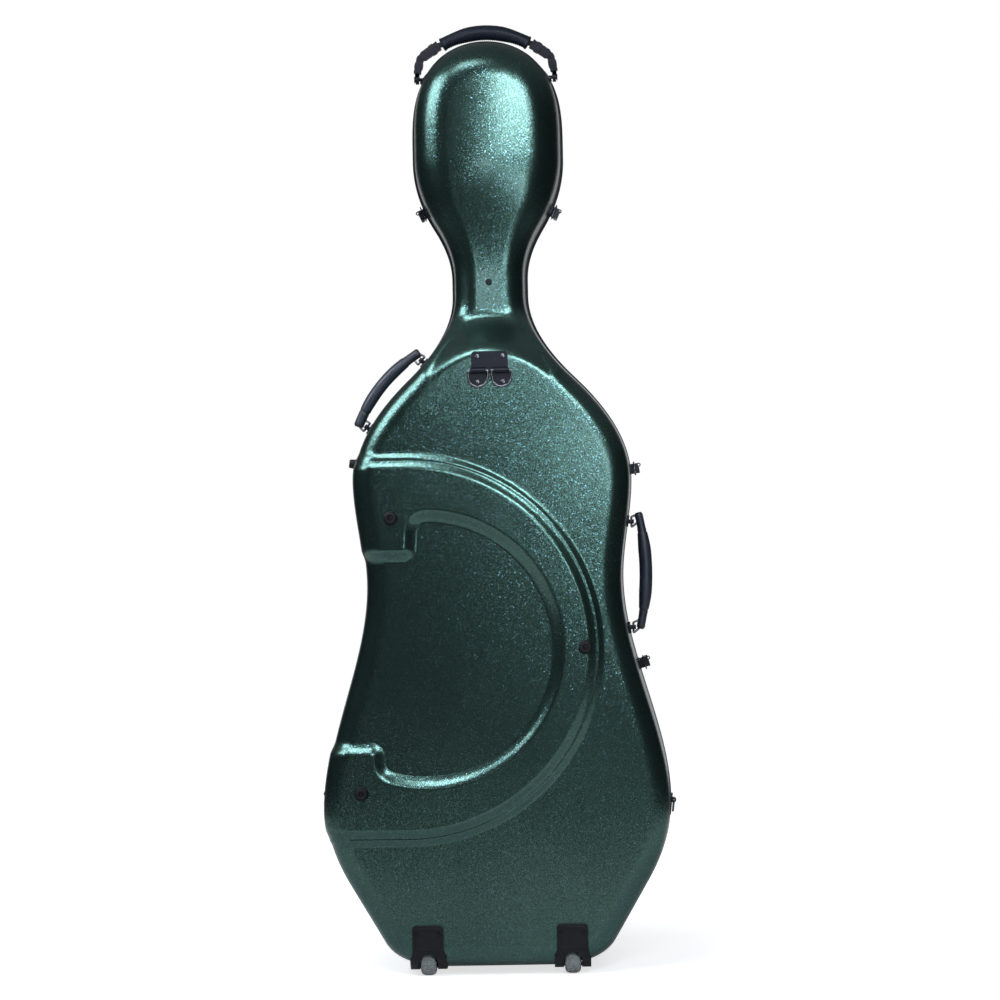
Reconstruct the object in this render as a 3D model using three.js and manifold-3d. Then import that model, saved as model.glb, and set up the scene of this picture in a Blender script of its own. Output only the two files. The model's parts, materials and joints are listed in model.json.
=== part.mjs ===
// Hard case for a cello, standing upright on two wheels and two front feet.
// Millimetres, +Z up. The back of the case faces -Y and the lid faces +Y.
// The origin is on the floor, under the middle of the case.

import * as THREE from 'three';
import { mergeVertices } from 'three/addons/utils/BufferGeometryUtils.js';
import Module from 'manifold-3d';

const wasm = await Module();
wasm.setup();

// Outline of both shells at the seam, from the floor upwards
const shellBottom = 6.5;
const bottomFlatWidth = 139;
const cornerHeight = 36;
const taperSlopeShare = 0.59;
const taperTopHeight = 114.5;
const taperInset = 33;
const lowerBoutRise = 106;
const lowerBoutWidth = 484;
const waistRise = 312;
const waistWidth = 360;
const upperBoutRise = 142;
const upperBoutWidth = 388;
const shoulderRise = 141;
const shoulderWidth = 234;
const shoulderSlopeShare = -1.054;
const neckRise = 117;
const neckLength = 25;
const neckWidth = 101;
const headFlareRise = 71;
const headFlareWidth = 148;
const headFlareSlopeShare = 0.62;
const headRise = 96;
const headWidth = 207;
const headLength = 17;
const headArchRise = 147;
const headPowerShare = 2 / 3;
const headCornerAngle = 48 * Math.PI / 180;
const taperTopWidth = lowerBoutWidth - 2 * taperInset;
const taperFoot = taperTopWidth / 2 - taperSlopeShare * taperTopHeight;
const lowerBoutHeight = taperTopHeight + lowerBoutRise;
const waistHeight = lowerBoutHeight + waistRise;
const upperBoutHeight = waistHeight + upperBoutRise;
const shoulderHeight = upperBoutHeight + shoulderRise;
const neckHeight = shoulderHeight + neckRise;
const headFlareHeight = neckHeight + neckLength + headFlareRise;
const headHeight = headFlareHeight + headRise;
const shellHeight = headHeight + headLength + headArchRise;

// Walls of the shells
const shellWall = 3;
const draftShare = 0.04;
const edgeRadius = 30;
const fitGap = 0.4;
const overrun = 8;
const plateauColumns = 6;
const innerColumns = 6;

// Back shell: plateau, arch at the top of the body, lower neck and domed head
const backDepth = 144;
const backCrown = 8;
const backNeckDepth = 98;
const backHeadDepth = 110;
const backHeadCrown = 5;
const archCentreRise = 28;
const archRise = 175;
const archSideReach = 41;
const archCentreHeight = upperBoutHeight + archCentreRise;
const archTopHeight = archCentreHeight + archRise;
const archHalfWidth = upperBoutWidth / 2 + archSideReach;
const backArchRun = 28;

// Front shell: lower plateau, bulge over the bridge, longer slope to the neck
const lidDepth = 118;
const lidCrown = 10;
const lidNeckDepth = 84;
const lidHeadDepth = 92;
const lidArchRun = 70;
const bridgeBulge = 22;
const bridgeDrop = 112.5;
const bridgeHeight = waistHeight - bridgeDrop;
const bridgeHalfWidth = 110;
const bridgeHalfLength = 170;

// C-shaped band moulded proud of the back
const bandHeight = 8;
const bandSlope = 8;
const bandDraftShare = 0.015;
const bandCentreX = -120;
const bandCentreDrop = 89;
const bandCentreHeight = waistHeight - bandCentreDrop;
const bandRadius = 268;
const pocketCentreX = -95;
const pocketRadius = 176;
const upperTabX = -107;
const upperTabRise = 121;
const lowerTabX = -155;
const lowerTabDrop = 129;
const upperTabHeight = bandCentreHeight + upperTabRise;
const lowerTabHeight = bandCentreHeight - lowerTabDrop;
const pocketCorner = 18;
const bandSteps = 6;

// Black seal in the seam
const baseRimGap = 3;
const lidRimGap = 1;
const sealSeatGap = 0.3;
const sealProud = 0.8;
const sealNeckProud = 3;
const sealWidth = 5;

// Foam and plush linings
const liningThickness = 6;
const liningRimGap = 4;

// Wheels, axles and their brackets
const wheelSideInset = 42.4;
const wheelRadius = 20;
const wheelWidth = 22;
const wheelTreadDrop = 3.5;
const wheelInset = 22;
const axleRadius = 3;
const axlePlay = 0.4;
const wheelSideGap = 1.4;
const wheelWellGap = 2;
const earThickness = 3;
const bracketThickness = 3.5;
const bracketTopWidth = 43;
const bracketFootWidth = 50;
const bracketTopHeight = 64.5;
const bracketWaistHeight = 25;
const bracketCorner = 6;
const bracketReach = 58;
const bracketArchHeight = 22;
const screwRadius = 3.2;
const screwSink = 1;

// Rubber feet
const backFootStand = 21;
const backFootReach = backDepth + backFootStand;
const backFootRadius = 9.6;
const footTaper = 2;
const footRecess = 4;
const sideFootRadius = 7.8;
const upperSideFootRise = 24;
const lowerSideFootRise = 41;
const upperSideFootReach = 12.5;
const lowerSideFootReach = 6.4;
const bottomFootRadius = 11;
const bottomFootX = 56;
const bottomFootDepth = 76;
const upperFootX = -139.5;
const upperFootRise = 180;
const middleFootX = 124;
const middleFootDrop = 1;
const lowerFootX = -186;
const lowerFootDrop = 197;

// Strap bracket high on the back
const strapBracketDrop = 39.5;
const strapBracketHeight = archTopHeight - strapBracketDrop;
const strapPlateWidth = 50;
const strapPlateHeight = 23;
const strapPlateThickness = 2.2;
const strapPlateCorner = 5;
const strapLobeRadius = 12.5;
const strapLobeX = 17.5;
const strapLobeDrop = 26;
const strapKnuckleDrop = 15;
const strapScrewRise = 4.5;
const knuckleRise = 4.3;
const knuckleRadius = 3.9;
const knuckleLength = 22;
const knuckleX = 15.8;

// D-rings
const ringWire = 1.5;
const ringPlay = 0.5;
const ringHalfWidth = 13.2;
const ringDrop = 22;
const lowerRingHalfWidth = 11;
const lowerRingDrop = 15.5;
const lowerPlateWidth = 18;
const lowerPlateHeight = 30;
const lowerPlateThickness = 1.6;
const lowerPlateCorner = 4;
const lowerKnuckleLength = 18;
const lowerKnuckleRadius = 3.2;
const lowerKnuckleRise = 3.9;
const lowerKnuckleLift = 6;
const leftRingRise = 13;
const rightRingDrop = 3;
const strapRingSwing = 160;
const lowerRingSwing = 120;
const leftRingHeight = lowerBoutHeight + leftRingRise;
const rightRingHeight = lowerBoutHeight - rightRingDrop;

// Hinges on the left side
const hingeLength = 36;
const hingeMiddle = 16;
const hingeRadius = 3.5;
const hingePin = 1.6;
const hingePlay = 0.35;
const hingeStandOff = 1.6;
const hingeLeafReach = 16;
const hingeLeafThickness = 2;
const hingeNotchGap = 0.5;
const upperHingeRise = 13.5;
const lowerHingeRise = 15.5;
const lidSwing = 100;
const upperHingeHeight = upperBoutHeight + upperHingeRise;
const lowerHingeHeight = lowerBoutHeight + lowerHingeRise;

// Draw latches
const latchGap = 0.5;
const latchPlateWidth = 14.4;
const latchPlateStart = 4;
const latchPlateReach = 34;
const latchPlateThickness = 2;
const latchWallRise = 14;
const latchWallThickness = 1.6;
const latchCheekRise = 8;
const latchCheekReach = 17.4;
const latchCheekOuter = 6.8;
const latchCheekInner = 5.4;
const latchPivotRise = 5.5;
const latchPivotReach = 14;
const latchPin = 1.4;
const latchPlay = 0.4;
const latchBarrelRadius = 3;
const latchEyeRadius = 2.8;
const latchEyeHole = 1.3;
const leverStart = 12.2;
const leverShoulderReach = 18.4;
const leverReach = 36;
const leverRise = 10;
const leverThickness = 1.6;
const leverHalfWidth = 7.2;
const leverEarThickness = 1.2;
const leverEarRadius = 2;
const leverCurlRadius = 2.6;
const bailPivotRise = 8;
const bailPivotReach = 20.5;
const bailBarRise = 6.4;
const bailBarReach = 12;
const bailWire = 0.9;
const bailHalfWidth = 8.8;
const keeperHalfWidth = 6;
const keeperStart = 5;
const keeperReach = 24;
const keeperPlateThickness = 1.6;
const keeperLipReach = 8.6;
const keeperLipThickness = 1.8;
const keeperLipRise = 4.2;
const leverSwing = 95;
const bailSwingShare = 1.2;
const headLatchRise = 26;
const leftLatchRise = 27;
const shoulderLatchRise = 11;
const waistLatchDrop = 122;
const latchHeights = {
  right_head: headFlareHeight + headLatchRise,
  left_head: headFlareHeight + leftLatchRise,
  right_shoulder: upperBoutHeight + shoulderLatchRise,
  right_waist: waistHeight - waistLatchDrop,
};

// Carrying handles on the sides
const handleDepth = 60;
const handlePlateGap = 0.6;
const handlePlateWidth = 18;
const handlePlateHeight = 16;
const handlePlateCorner = 4;
const handlePlateThickness = 2;
const handleAxisRise = 6.2;
const handleWire = 1.6;
const handlePlay = 0.45;
const handleEyeWall = 1.6;
const handleEyeHalf = 3;
const handleLegHalf = 7;
const handleLegBend = 1.4;
const gripRise = 9.6;
const gripEndReach = 7.6;
const gripWideShare = 1.15;
const gripSides = 10;
const gripSteps = 12;
const handleSwing = 50;
const shoulderHandleDrop = 68.5;
const shoulderHandleRise = 22.5;
const waistHandleDrop = 68.5;
const waistHandleRise = 80.5;
const shoulderHandle = {
  low: shoulderHeight - shoulderHandleDrop,
  high: shoulderHeight + shoulderHandleRise,
  slip: 0,
  bulge: 11.5,
  middle: 8.2,
  end: 7.2,
};
const waistHandle = {
  low: waistHeight - waistHandleDrop,
  high: waistHeight + waistHandleRise,
  slip: 5,
  bulge: 9.5,
  middle: 8.8,
  end: 6.2,
};

// Top handle on its webbing
const topHandleDepth = 38;
const topAnchorDrop = 51;
const topStrapStandOff = 10.1;
const topHandleSwing = 12;
const topAnchorHeight = shellHeight - topAnchorDrop;
const topStudRadius = 2.5;
const topStudPlay = 0.6;
const topStudHead = 4.6;
const topStudHeadThickness = 1.6;
const topPlateWidth = 18;
const topPlateHeight = 16;
const strapHalfWidth = 6.2;
const strapHalfThickness = 2.4;
const strapEyeRadius = 6.6;
const strapEyeLength = 8;
const strapShoulderInset = 5.2;
const strapShoulderRise = 30;
const strapBendInset = 18.2;
const strapBendRise = 40;
const topGripHalfLength = 61;
const topGripRise = 19;
const topGripDrop = 21;
const topGripHeight = shellHeight + topGripRise;
const topGripRadius = 10;
const topGripEndRadius = 8.6;
const topGripSteps = 12;

// Neck cradle, its screw and the block at the bottom end
const padGap = 0.5;
const cradleDrop = 18.5;
const cradleBottom = neckHeight - cradleDrop;
const cradleLength = 66;
const cradleRise = 34;
const cradleNotchRadius = 22;
const cradleNotchLift = 8;
const neckScrewRise = 15;
const neckScrewHeight = neckHeight + neckScrewRise;
const neckScrewRadius = 2.2;
const neckScrewHead = 4.8;
const neckScrewHeadThickness = 1.4;
const neckScrewPlay = 0.5;
const neckScrewLength = 24;
const endBlockSideGap = 39;
const endBlockHeight = 48;
const endBlockStart = 34;
const endSocketRadius = 12;
const endSocketDepth = 20;
const endSocketReach = 78;

const roundSides = 10;
const smallSides = 8;
const wireSides = 6;
const wireQuarters = 3;
const weld = 0.0005;
const slopeStep = 2;
const meshTolerance = 0.02;

const materials = {
  shell: { color: 0x29493f, roughness: 0.36, metalness: 0.45 },
  seal: { color: 0x101214, roughness: 0.7, metalness: 0 },
  lining: { color: 0x1b1c20, roughness: 0.95, metalness: 0 },
  foam: { color: 0x24252a, roughness: 0.9, metalness: 0 },
  blackPlastic: { color: 0x16181b, roughness: 0.45, metalness: 0 },
  rubber: { color: 0x131313, roughness: 0.75, metalness: 0 },
  blackMetal: { color: 0x1c1e22, roughness: 0.4, metalness: 0.7 },
  greyMetal: { color: 0x5b5c60, roughness: 0.35, metalness: 0.8 },
  wheel: { color: 0x6d736f, roughness: 0.25, metalness: 0 },
  grip: { color: 0x14161d, roughness: 0.6, metalness: 0 },
  webbing: { color: 0x17181c, roughness: 0.85, metalness: 0 },
};

const caseGroup = new THREE.Group();

function mesh(name, geometry, material, parent = caseGroup) {
  const piece = new THREE.Mesh(geometry, new THREE.MeshStandardMaterial(materials[material]));
  piece.name = name;
  parent.add(piece);
  return piece;
}

// Solids and meshes

function orient(geometry) {
  const position = geometry.attributes.position;
  const index = geometry.index.array;
  const a = new THREE.Vector3();
  const b = new THREE.Vector3();
  const c = new THREE.Vector3();
  let volume = 0;
  for (let i = 0; i < index.length; i += 3) {
    a.fromBufferAttribute(position, index[i]);
    b.fromBufferAttribute(position, index[i + 1]);
    c.fromBufferAttribute(position, index[i + 2]);
    volume += a.dot(b.cross(c));
  }
  if (volume < 0) {
    for (let i = 0; i < index.length; i += 3) {
      [index[i], index[i + 1]] = [index[i + 1], index[i]];
    }
  }
  return geometry;
}

function meshOf(points, triangles) {
  const geometry = new THREE.BufferGeometry();
  geometry.setAttribute('position', new THREE.Float32BufferAttribute(points.flatMap((p) => [p.x, p.y, p.z]), 3));
  geometry.setIndex(triangles.flat());
  return orient(geometry);
}

function cleaned(geometry) {
  const bare = geometry.clone();
  bare.deleteAttribute('normal');
  bare.deleteAttribute('uv');
  const merged = mergeVertices(bare, weld);
  const kept = [];
  const index = merged.index.array;
  for (let i = 0; i < index.length; i += 3) {
    const [a, b, c] = [index[i], index[i + 1], index[i + 2]];
    if (a !== b && b !== c && c !== a) {
      kept.push(a, b, c);
    }
  }
  merged.setIndex(kept);
  return merged;
}

function solid(geometry) {
  const merged = cleaned(geometry);
  const vertProperties = new Float32Array(merged.attributes.position.array);
  const triVerts = new Uint32Array(merged.index.array);
  return new wasm.Manifold(new wasm.Mesh({ numProp: 3, vertProperties, triVerts }));
}

function shape(result) {
  const { vertProperties, triVerts } = result.simplify(meshTolerance).getMesh();
  const geometry = new THREE.BufferGeometry();
  geometry.setAttribute('position', new THREE.BufferAttribute(vertProperties, 3));
  geometry.setIndex(new THREE.BufferAttribute(triVerts, 1));
  return geometry;
}

function join(...geometries) {
  return geometries.map(solid).reduce((sum, part) => sum.add(part));
}

// Extrusions: an outline of (x, z) along Y, and one of (y, z) along X

function alongY(outline, from, to, curveSegments = smallSides) {
  const geometry = new THREE.ExtrudeGeometry(outline, { depth: to - from, bevelEnabled: false, curveSegments });
  return geometry.rotateX(Math.PI / 2).translate(0, to, 0);
}

function alongX(outline, from, to, curveSegments = smallSides) {
  const geometry = new THREE.ExtrudeGeometry(outline, { depth: to - from, bevelEnabled: false, curveSegments });
  const turn = new THREE.Matrix4().makeBasis(
    new THREE.Vector3(0, 1, 0), new THREE.Vector3(0, 0, 1), new THREE.Vector3(1, 0, 0),
  );
  return geometry.applyMatrix4(turn).translate(from, 0, 0);
}

function alongZ(outline, from, to, curveSegments = smallSides) {
  const geometry = new THREE.ExtrudeGeometry(outline, { depth: to - from, bevelEnabled: false, curveSegments });
  return geometry.translate(0, 0, from);
}

function box(low, high) {
  const size = new THREE.Vector3().subVectors(high, low);
  const middle = new THREE.Vector3().addVectors(low, high).multiplyScalar(0.5);
  return new THREE.BoxGeometry(size.x, size.y, size.z).translate(middle.x, middle.y, middle.z);
}

function rodBetween(start, end, radius, sides = smallSides) {
  const axis = new THREE.Vector3().subVectors(end, start);
  const middle = new THREE.Vector3().addVectors(start, end).multiplyScalar(0.5);
  const turn = new THREE.Quaternion().setFromUnitVectors(new THREE.Vector3(0, 1, 0), axis.clone().normalize());
  const rod = new THREE.CylinderGeometry(radius, radius, axis.length(), sides);
  return rod.applyQuaternion(turn).translate(middle.x, middle.y, middle.z);
}

function roundedRectangle(width, height, radius, centreY = 0) {
  const outline = new THREE.Shape();
  const right = width / 2;
  const low = centreY - height / 2;
  const high = centreY + height / 2;
  outline.moveTo(-right + radius, low);
  outline.lineTo(right - radius, low);
  outline.absarc(right - radius, low + radius, radius, -Math.PI / 2, 0);
  outline.lineTo(right, high - radius);
  outline.absarc(right - radius, high - radius, radius, 0, Math.PI / 2);
  outline.lineTo(-right + radius, high);
  outline.absarc(-right + radius, high - radius, radius, Math.PI / 2, Math.PI);
  outline.lineTo(-right, low + radius);
  outline.absarc(-right + radius, low + radius, radius, Math.PI, 1.5 * Math.PI);
  return outline;
}

function circle(radius, x = 0, y = 0) {
  return new THREE.Shape().absarc(x, y, radius, 0, 2 * Math.PI);
}

function wire(points, radius, steps, sides = wireQuarters) {
  const path = new THREE.CatmullRomCurve3(points, false, 'centripetal');
  return new THREE.ExtrudeGeometry(circle(radius), {
    steps,
    bevelEnabled: false,
    extrudePath: path,
    curveSegments: sides,
  });
}

// Joins rings of equal count into one closed body, with a flat cap at each end
function loft(rings) {
  const count = rings[0].length;
  const triangles = [];
  for (let k = 0; k + 1 < rings.length; k += 1) {
    for (let i = 0; i < count; i += 1) {
      const a = k * count + i;
      const b = k * count + (i + 1) % count;
      triangles.push([a, b, b + count], [a, b + count, a + count]);
    }
  }
  const last = (rings.length - 1) * count;
  for (let i = 1; i + 1 < count; i += 1) {
    triangles.push([0, i + 1, i], [last, last + i, last + i + 1]);
  }
  return meshOf(rings.flat(), triangles);
}

// Sections that stand square to a path in a plane; wide lies along the plane's normal
function sweep(path, normal, halves, sides) {
  const rings = path.map((point, i) => {
    const before = path[Math.max(0, i - 1)];
    const after = path[Math.min(path.length - 1, i + 1)];
    const along = new THREE.Vector3().subVectors(after, before).normalize();
    const across = new THREE.Vector3().crossVectors(normal, along);
    const [flat, wide] = halves(i / (path.length - 1));
    return Array.from({ length: sides }, (_, k) => {
      const angle = 2 * Math.PI * (k + 0.5) / sides;
      return point.clone()
        .addScaledVector(across, flat * Math.cos(angle))
        .addScaledVector(normal, wide * Math.sin(angle));
    });
  });
  return loft(rings);
}

// Outline of the case at the seam

function smoothStep(value, from, to) {
  return THREE.MathUtils.smoothstep(value, from, to);
}

function curveBetween(start, end, share) {
  const run = end.height - start.height;
  const t2 = share * share;
  const t3 = t2 * share;
  return (2 * t3 - 3 * t2 + 1) * start.half + (t3 - 2 * t2 + share) * run * start.slope
    + (3 * t2 - 2 * t3) * end.half + (t3 - t2) * run * end.slope;
}

const outlineStations = [
  { height: taperTopHeight, half: taperTopWidth / 2, slope: taperSlopeShare, steps: 3 },
  { height: lowerBoutHeight, half: lowerBoutWidth / 2, slope: 0, steps: 4 },
  { height: waistHeight, half: waistWidth / 2, slope: 0, steps: 3 },
  { height: upperBoutHeight, half: upperBoutWidth / 2, slope: 0, steps: 4 },
  { height: shoulderHeight, half: shoulderWidth / 2, slope: shoulderSlopeShare, steps: 7 },
  { height: neckHeight, half: neckWidth / 2, slope: 0, steps: 1 },
  { height: neckHeight + neckLength, half: neckWidth / 2, slope: 0, steps: 2 },
  { height: headFlareHeight, half: headFlareWidth / 2, slope: headFlareSlopeShare, steps: 2 },
  { height: headHeight, half: headWidth / 2, slope: 0, steps: 1 },
  { height: headHeight + headLength, half: headWidth / 2, slope: 0, steps: 0 },
];

function headPoint(angle) {
  const centre = headHeight + headLength;
  const rise = (shellHeight - centre) * Math.sin(angle) ** headPowerShare;
  return new THREE.Vector2(headWidth / 2 * Math.cos(angle), shellBottom + centre + rise);
}

function rightSide() {
  const cornerHalf = taperTopWidth / 2 - taperSlopeShare * (taperTopHeight - cornerHeight);
  const corner = new THREE.QuadraticBezierCurve(
    new THREE.Vector2(bottomFlatWidth / 2, shellBottom),
    new THREE.Vector2(taperFoot, shellBottom),
    new THREE.Vector2(cornerHalf, shellBottom + cornerHeight),
  );
  const points = corner.getPoints(4);
  outlineStations.slice(0, -1).forEach((start, k) => {
    const end = outlineStations[k + 1];
    for (let i = 0; i < start.steps; i += 1) {
      const share = i / start.steps;
      const height = THREE.MathUtils.lerp(start.height, end.height, share);
      points.push(new THREE.Vector2(curveBetween(start, end, share), shellBottom + height));
    }
  });
  const headSteps = 3;
  for (let i = 0; i <= headSteps; i += 1) {
    points.push(headPoint(headCornerAngle * i / headSteps));
  }
  return points;
}

const sidePoints = rightSide();
const rows = sidePoints.length - 1;

// Anticlockwise as seen from behind: bottom, right side, top, left side
function seamOutline(columns) {
  const points = [];
  for (let j = 0; j < columns; j += 1) {
    points.push(new THREE.Vector2(bottomFlatWidth * (j / columns - 0.5), shellBottom));
  }
  points.push(...sidePoints.slice(0, -1));
  for (let j = 0; j < columns; j += 1) {
    points.push(headPoint(THREE.MathUtils.lerp(headCornerAngle, Math.PI - headCornerAngle, j / columns)));
  }
  for (let i = rows; i > 0; i -= 1) {
    points.push(new THREE.Vector2(-sidePoints[i].x, sidePoints[i].y));
  }
  return points;
}

// Moves every edge of an anticlockwise outline inwards by the same distance
function inset(points, distance) {
  return points.map((point, i) => {
    const before = points[(i + points.length - 1) % points.length];
    const after = points[(i + 1) % points.length];
    const first = new THREE.Vector2().subVectors(point, before).normalize();
    const second = new THREE.Vector2().subVectors(after, point).normalize();
    const inward = new THREE.Vector2(-first.y - second.y, first.x + second.x).normalize();
    const reach = (typeof distance === 'function' ? distance(point) : distance);
    const stretch = inward.x * -first.y + inward.y * first.x;
    return point.clone().addScaledVector(inward, reach / stretch);
  });
}

// Depths of the shells, measured from the seam plane

function bodyShare(x, z, run) {
  const height = z - shellBottom;
  const rise = Math.max(0, height - archCentreHeight) / archRise;
  const inside = archRise * (1 - Math.hypot(x / archHalfWidth, rise));
  return height < archCentreHeight ? 1 : smoothStep(inside, 0, run);
}

function headShare(z) {
  return smoothStep(z - shellBottom, neckHeight + neckLength, headHeight);
}

function crownShare(x, width) {
  return 1 - (2 * x / width) ** 2;
}

function backDepthAt(x, z) {
  const neck = THREE.MathUtils.lerp(backNeckDepth, backHeadDepth, headShare(z))
    + backHeadCrown * headShare(z) * crownShare(x, headWidth);
  const body = backDepth + backCrown * crownShare(x, lowerBoutWidth);
  return THREE.MathUtils.lerp(neck, body, bodyShare(x, z, backArchRun));
}

function lidDepthAt(x, z) {
  const neck = THREE.MathUtils.lerp(lidNeckDepth, lidHeadDepth, headShare(z));
  const away = Math.hypot(x / bridgeHalfWidth, (z - shellBottom - bridgeHeight) / bridgeHalfLength);
  const body = lidDepth + lidCrown * crownShare(x, lowerBoutWidth) + bridgeBulge * Math.exp(-away * away);
  return THREE.MathUtils.lerp(neck, body, bodyShare(x, z, lidArchRun));
}

// How much longer a vertical step is than one square to the surface
function steepness(depthAt, x, z) {
  const acrossSlope = (depthAt(x + slopeStep, z) - depthAt(x - slopeStep, z)) / (2 * slopeStep);
  const alongSlope = (depthAt(x, z + slopeStep) - depthAt(x, z - slopeStep)) / (2 * slopeStep);
  return Math.hypot(1, acrossSlope, alongSlope);
}

// A closed tray: drafted wall, rounded edge and crowned plateau.
// skin moves all of it inwards, rim is the depth at which it starts.
function tray({ columns, depthAt, facing, skin = 0, rim = 0, extra = 0, draft = draftShare, edgeSteps = 3 }) {
  const outline = seamOutline(columns);
  const count = outline.length;
  const radius = edgeRadius - skin;
  const guide = inset(outline, skin + edgeRadius);
  const floorAt = (x, z) => depthAt(x, z) + extra - skin * steepness(depthAt, x, z);
  const floors = guide.map((p) => floorAt(p.x, p.y));
  const points = [];
  function addRing(insetAt, depthOf) {
    outline.forEach((_, i) => {
      const ringPoint = inset(outline, skin + insetAt(floors[i]))[i];
      points.push(new THREE.Vector3(ringPoint.x, facing * depthOf(floors[i]), ringPoint.y));
    });
  }
  addRing(() => draft * rim, () => rim);
  for (let k = 0; k <= edgeSteps; k += 1) {
    const angle = Math.PI / 2 * k / edgeSteps;
    addRing(
      (floor) => draft * (floor - radius) + radius * (1 - Math.cos(angle)),
      (floor) => floor - radius + radius * Math.sin(angle),
    );
  }
  const ringCount = edgeSteps + 2;
  const triangles = [];
  for (let k = 0; k + 1 < ringCount; k += 1) {
    for (let i = 0; i < count; i += 1) {
      const a = k * count + i;
      const b = k * count + (i + 1) % count;
      triangles.push([a, b, b + count], [a, b + count, a + count]);
    }
  }
  const rimContour = points.slice(0, count).map((p) => new THREE.Vector2(p.x, p.z));
  THREE.ShapeUtils.triangulateShape(rimContour, []).forEach(([a, b, c]) => triangles.push([c, b, a]));
  const last = (ringCount - 1) * count;
  const topRise = (j) => points[last + columns + rows + (columns - j)].z - points[last + columns + rows].z;
  const capStart = points[last + columns + rows].z - (headHeight - headFlareHeight);
  const grid = [];
  for (let i = 0; i <= rows; i += 1) {
    const left = last + (count - i) % count;
    const right = last + columns + i;
    const line = [left];
    for (let j = 1; j < columns; j += 1) {
      if (i === 0) {
        line.push(last + j);
      } else if (i === rows) {
        line.push(last + columns + rows + (columns - j));
      } else {
        const x = THREE.MathUtils.lerp(points[left].x, points[right].x, j / columns);
        const lift = smoothStep(points[right].z, capStart, points[last + columns + rows].z);
        const z = points[right].z + lift * topRise(j);
        points.push(new THREE.Vector3(x, facing * floorAt(x, z), z));
        line.push(points.length - 1);
      }
    }
    line.push(right);
    grid.push(line);
  }
  for (let i = 0; i < rows; i += 1) {
    for (let j = 0; j < columns; j += 1) {
      const [a, b] = [grid[i][j], grid[i][j + 1]];
      const [d, c] = [grid[i + 1][j], grid[i + 1][j + 1]];
      triangles.push([a, b, c], [a, c, d]);
    }
  }
  return meshOf(points, triangles);
}

const back = { depthAt: backDepthAt, facing: -1 };
const front = { depthAt: lidDepthAt, facing: 1 };

// The raised band on the back

function bandOutline(grow) {
  const outline = new THREE.Shape();
  const far = -lowerBoutWidth;
  const upperZ = shellBottom + upperTabHeight;
  const lowerZ = shellBottom + lowerTabHeight;
  const centreZ = shellBottom + bandCentreHeight;
  const radius = bandRadius + grow;
  const pocket = pocketRadius - grow;
  const corner = pocketCorner;
  const upX = upperTabX + grow;
  const upZ = upperZ - grow;
  const lowX = lowerTabX + grow;
  const lowZ = lowerZ + grow;
  const upperMeet = Math.PI - Math.acos((pocketCentreX - upX - corner) / pocket);
  const lowerMeet = Math.acos((pocketCentreX - lowX - corner) / pocket);
  outline.moveTo(far, upZ);
  outline.lineTo(upX - corner, upZ);
  outline.absarc(upX - corner, upZ + corner, corner, -Math.PI / 2, 0, false);
  outline.absarc(pocketCentreX, centreZ, pocket, upperMeet, -Math.PI + lowerMeet, true);
  outline.lineTo(lowX, lowZ - corner);
  outline.absarc(lowX - corner, lowZ - corner, corner, 0, Math.PI / 2, false);
  outline.lineTo(far, lowZ);
  outline.lineTo(far, centreZ - radius);
  outline.lineTo(bandCentreX, centreZ - radius);
  outline.absarc(bandCentreX, centreZ, radius, -Math.PI / 2, Math.PI / 2, false);
  outline.lineTo(far, centreZ + radius);
  return outline.getPoints(bandSteps);
}

function bandPrism() {
  const low = bandOutline(overrun);
  const high = bandOutline(-bandSlope - overrun);
  const level = (p) => backDepth + backCrown * crownShare(p.x, lowerBoutWidth);
  const lowRing = low.map((p) => new THREE.Vector3(p.x, overrun - level(p), p.y));
  const highRing = high.map((p) => new THREE.Vector3(p.x, -level(p) - bandHeight - overrun, p.y));
  const count = low.length;
  const triangles = THREE.ShapeUtils.triangulateShape(low, []).flatMap(([a, b, c]) => [
    [c, b, a], [count + a, count + b, count + c],
  ]);
  for (let i = 0; i < count; i += 1) {
    const next = (i + 1) % count;
    triangles.push([i, next, count + next], [i, count + next, count + i]);
  }
  return meshOf([...lowRing, ...highRing], triangles);
}

// Frames of the fittings

function frameOf(origin, outward, upward) {
  const sideways = new THREE.Vector3().crossVectors(upward, outward).normalize();
  return new THREE.Matrix4().makeBasis(outward, sideways, upward).setPosition(origin);
}

// A point on a side wall: X out of the wall, Z up along it; Y is +Y on the right and -Y on the left
function wallFrame(side, height, depth, facing) {
  const ring = inset(seamOutline(plateauColumns), draftShare * depth).slice(plateauColumns);
  const z = shellBottom + height;
  const k = ring.findIndex((p, i) => i < rows && p.y <= z && ring[i + 1].y > z);
  const share = (z - ring[k].y) / (ring[k + 1].y - ring[k].y);
  const point = ring[k].clone().lerp(ring[k + 1], share);
  const along = new THREE.Vector2().subVectors(ring[k + 1], ring[k]).normalize();
  const upward = new THREE.Vector3(side * along.x, 0, along.y);
  const lean = Math.atan(draftShare);
  const outward = new THREE.Vector3(side * along.y, 0, -along.x)
    .multiplyScalar(Math.cos(lean))
    .add(new THREE.Vector3(0, facing * Math.sin(lean), 0));
  return frameOf(new THREE.Vector3(side * point.x, facing * depth, z), outward, upward);
}

// The same with Y towards the lid on both sides
function latchFrame(side, height, facing) {
  const frame = wallFrame(side, height, 0, facing);
  return side > 0 ? frame : frame.multiply(new THREE.Matrix4().makeRotationX(Math.PI));
}

function backPoint(x, height) {
  const z = shellBottom + height;
  return new THREE.Vector3(x, -backDepthAt(x, z), z);
}

// Wheels and brackets

const wheelX = taperFoot - wheelSideInset;
const wheelY = wheelInset - backDepthAt(wheelX, shellBottom + bracketTopHeight);
const wellRadius = wheelRadius + wheelWellGap;
const wellHalfWidth = wheelWidth / 2 + wheelSideGap + earThickness + fitGap;

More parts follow.
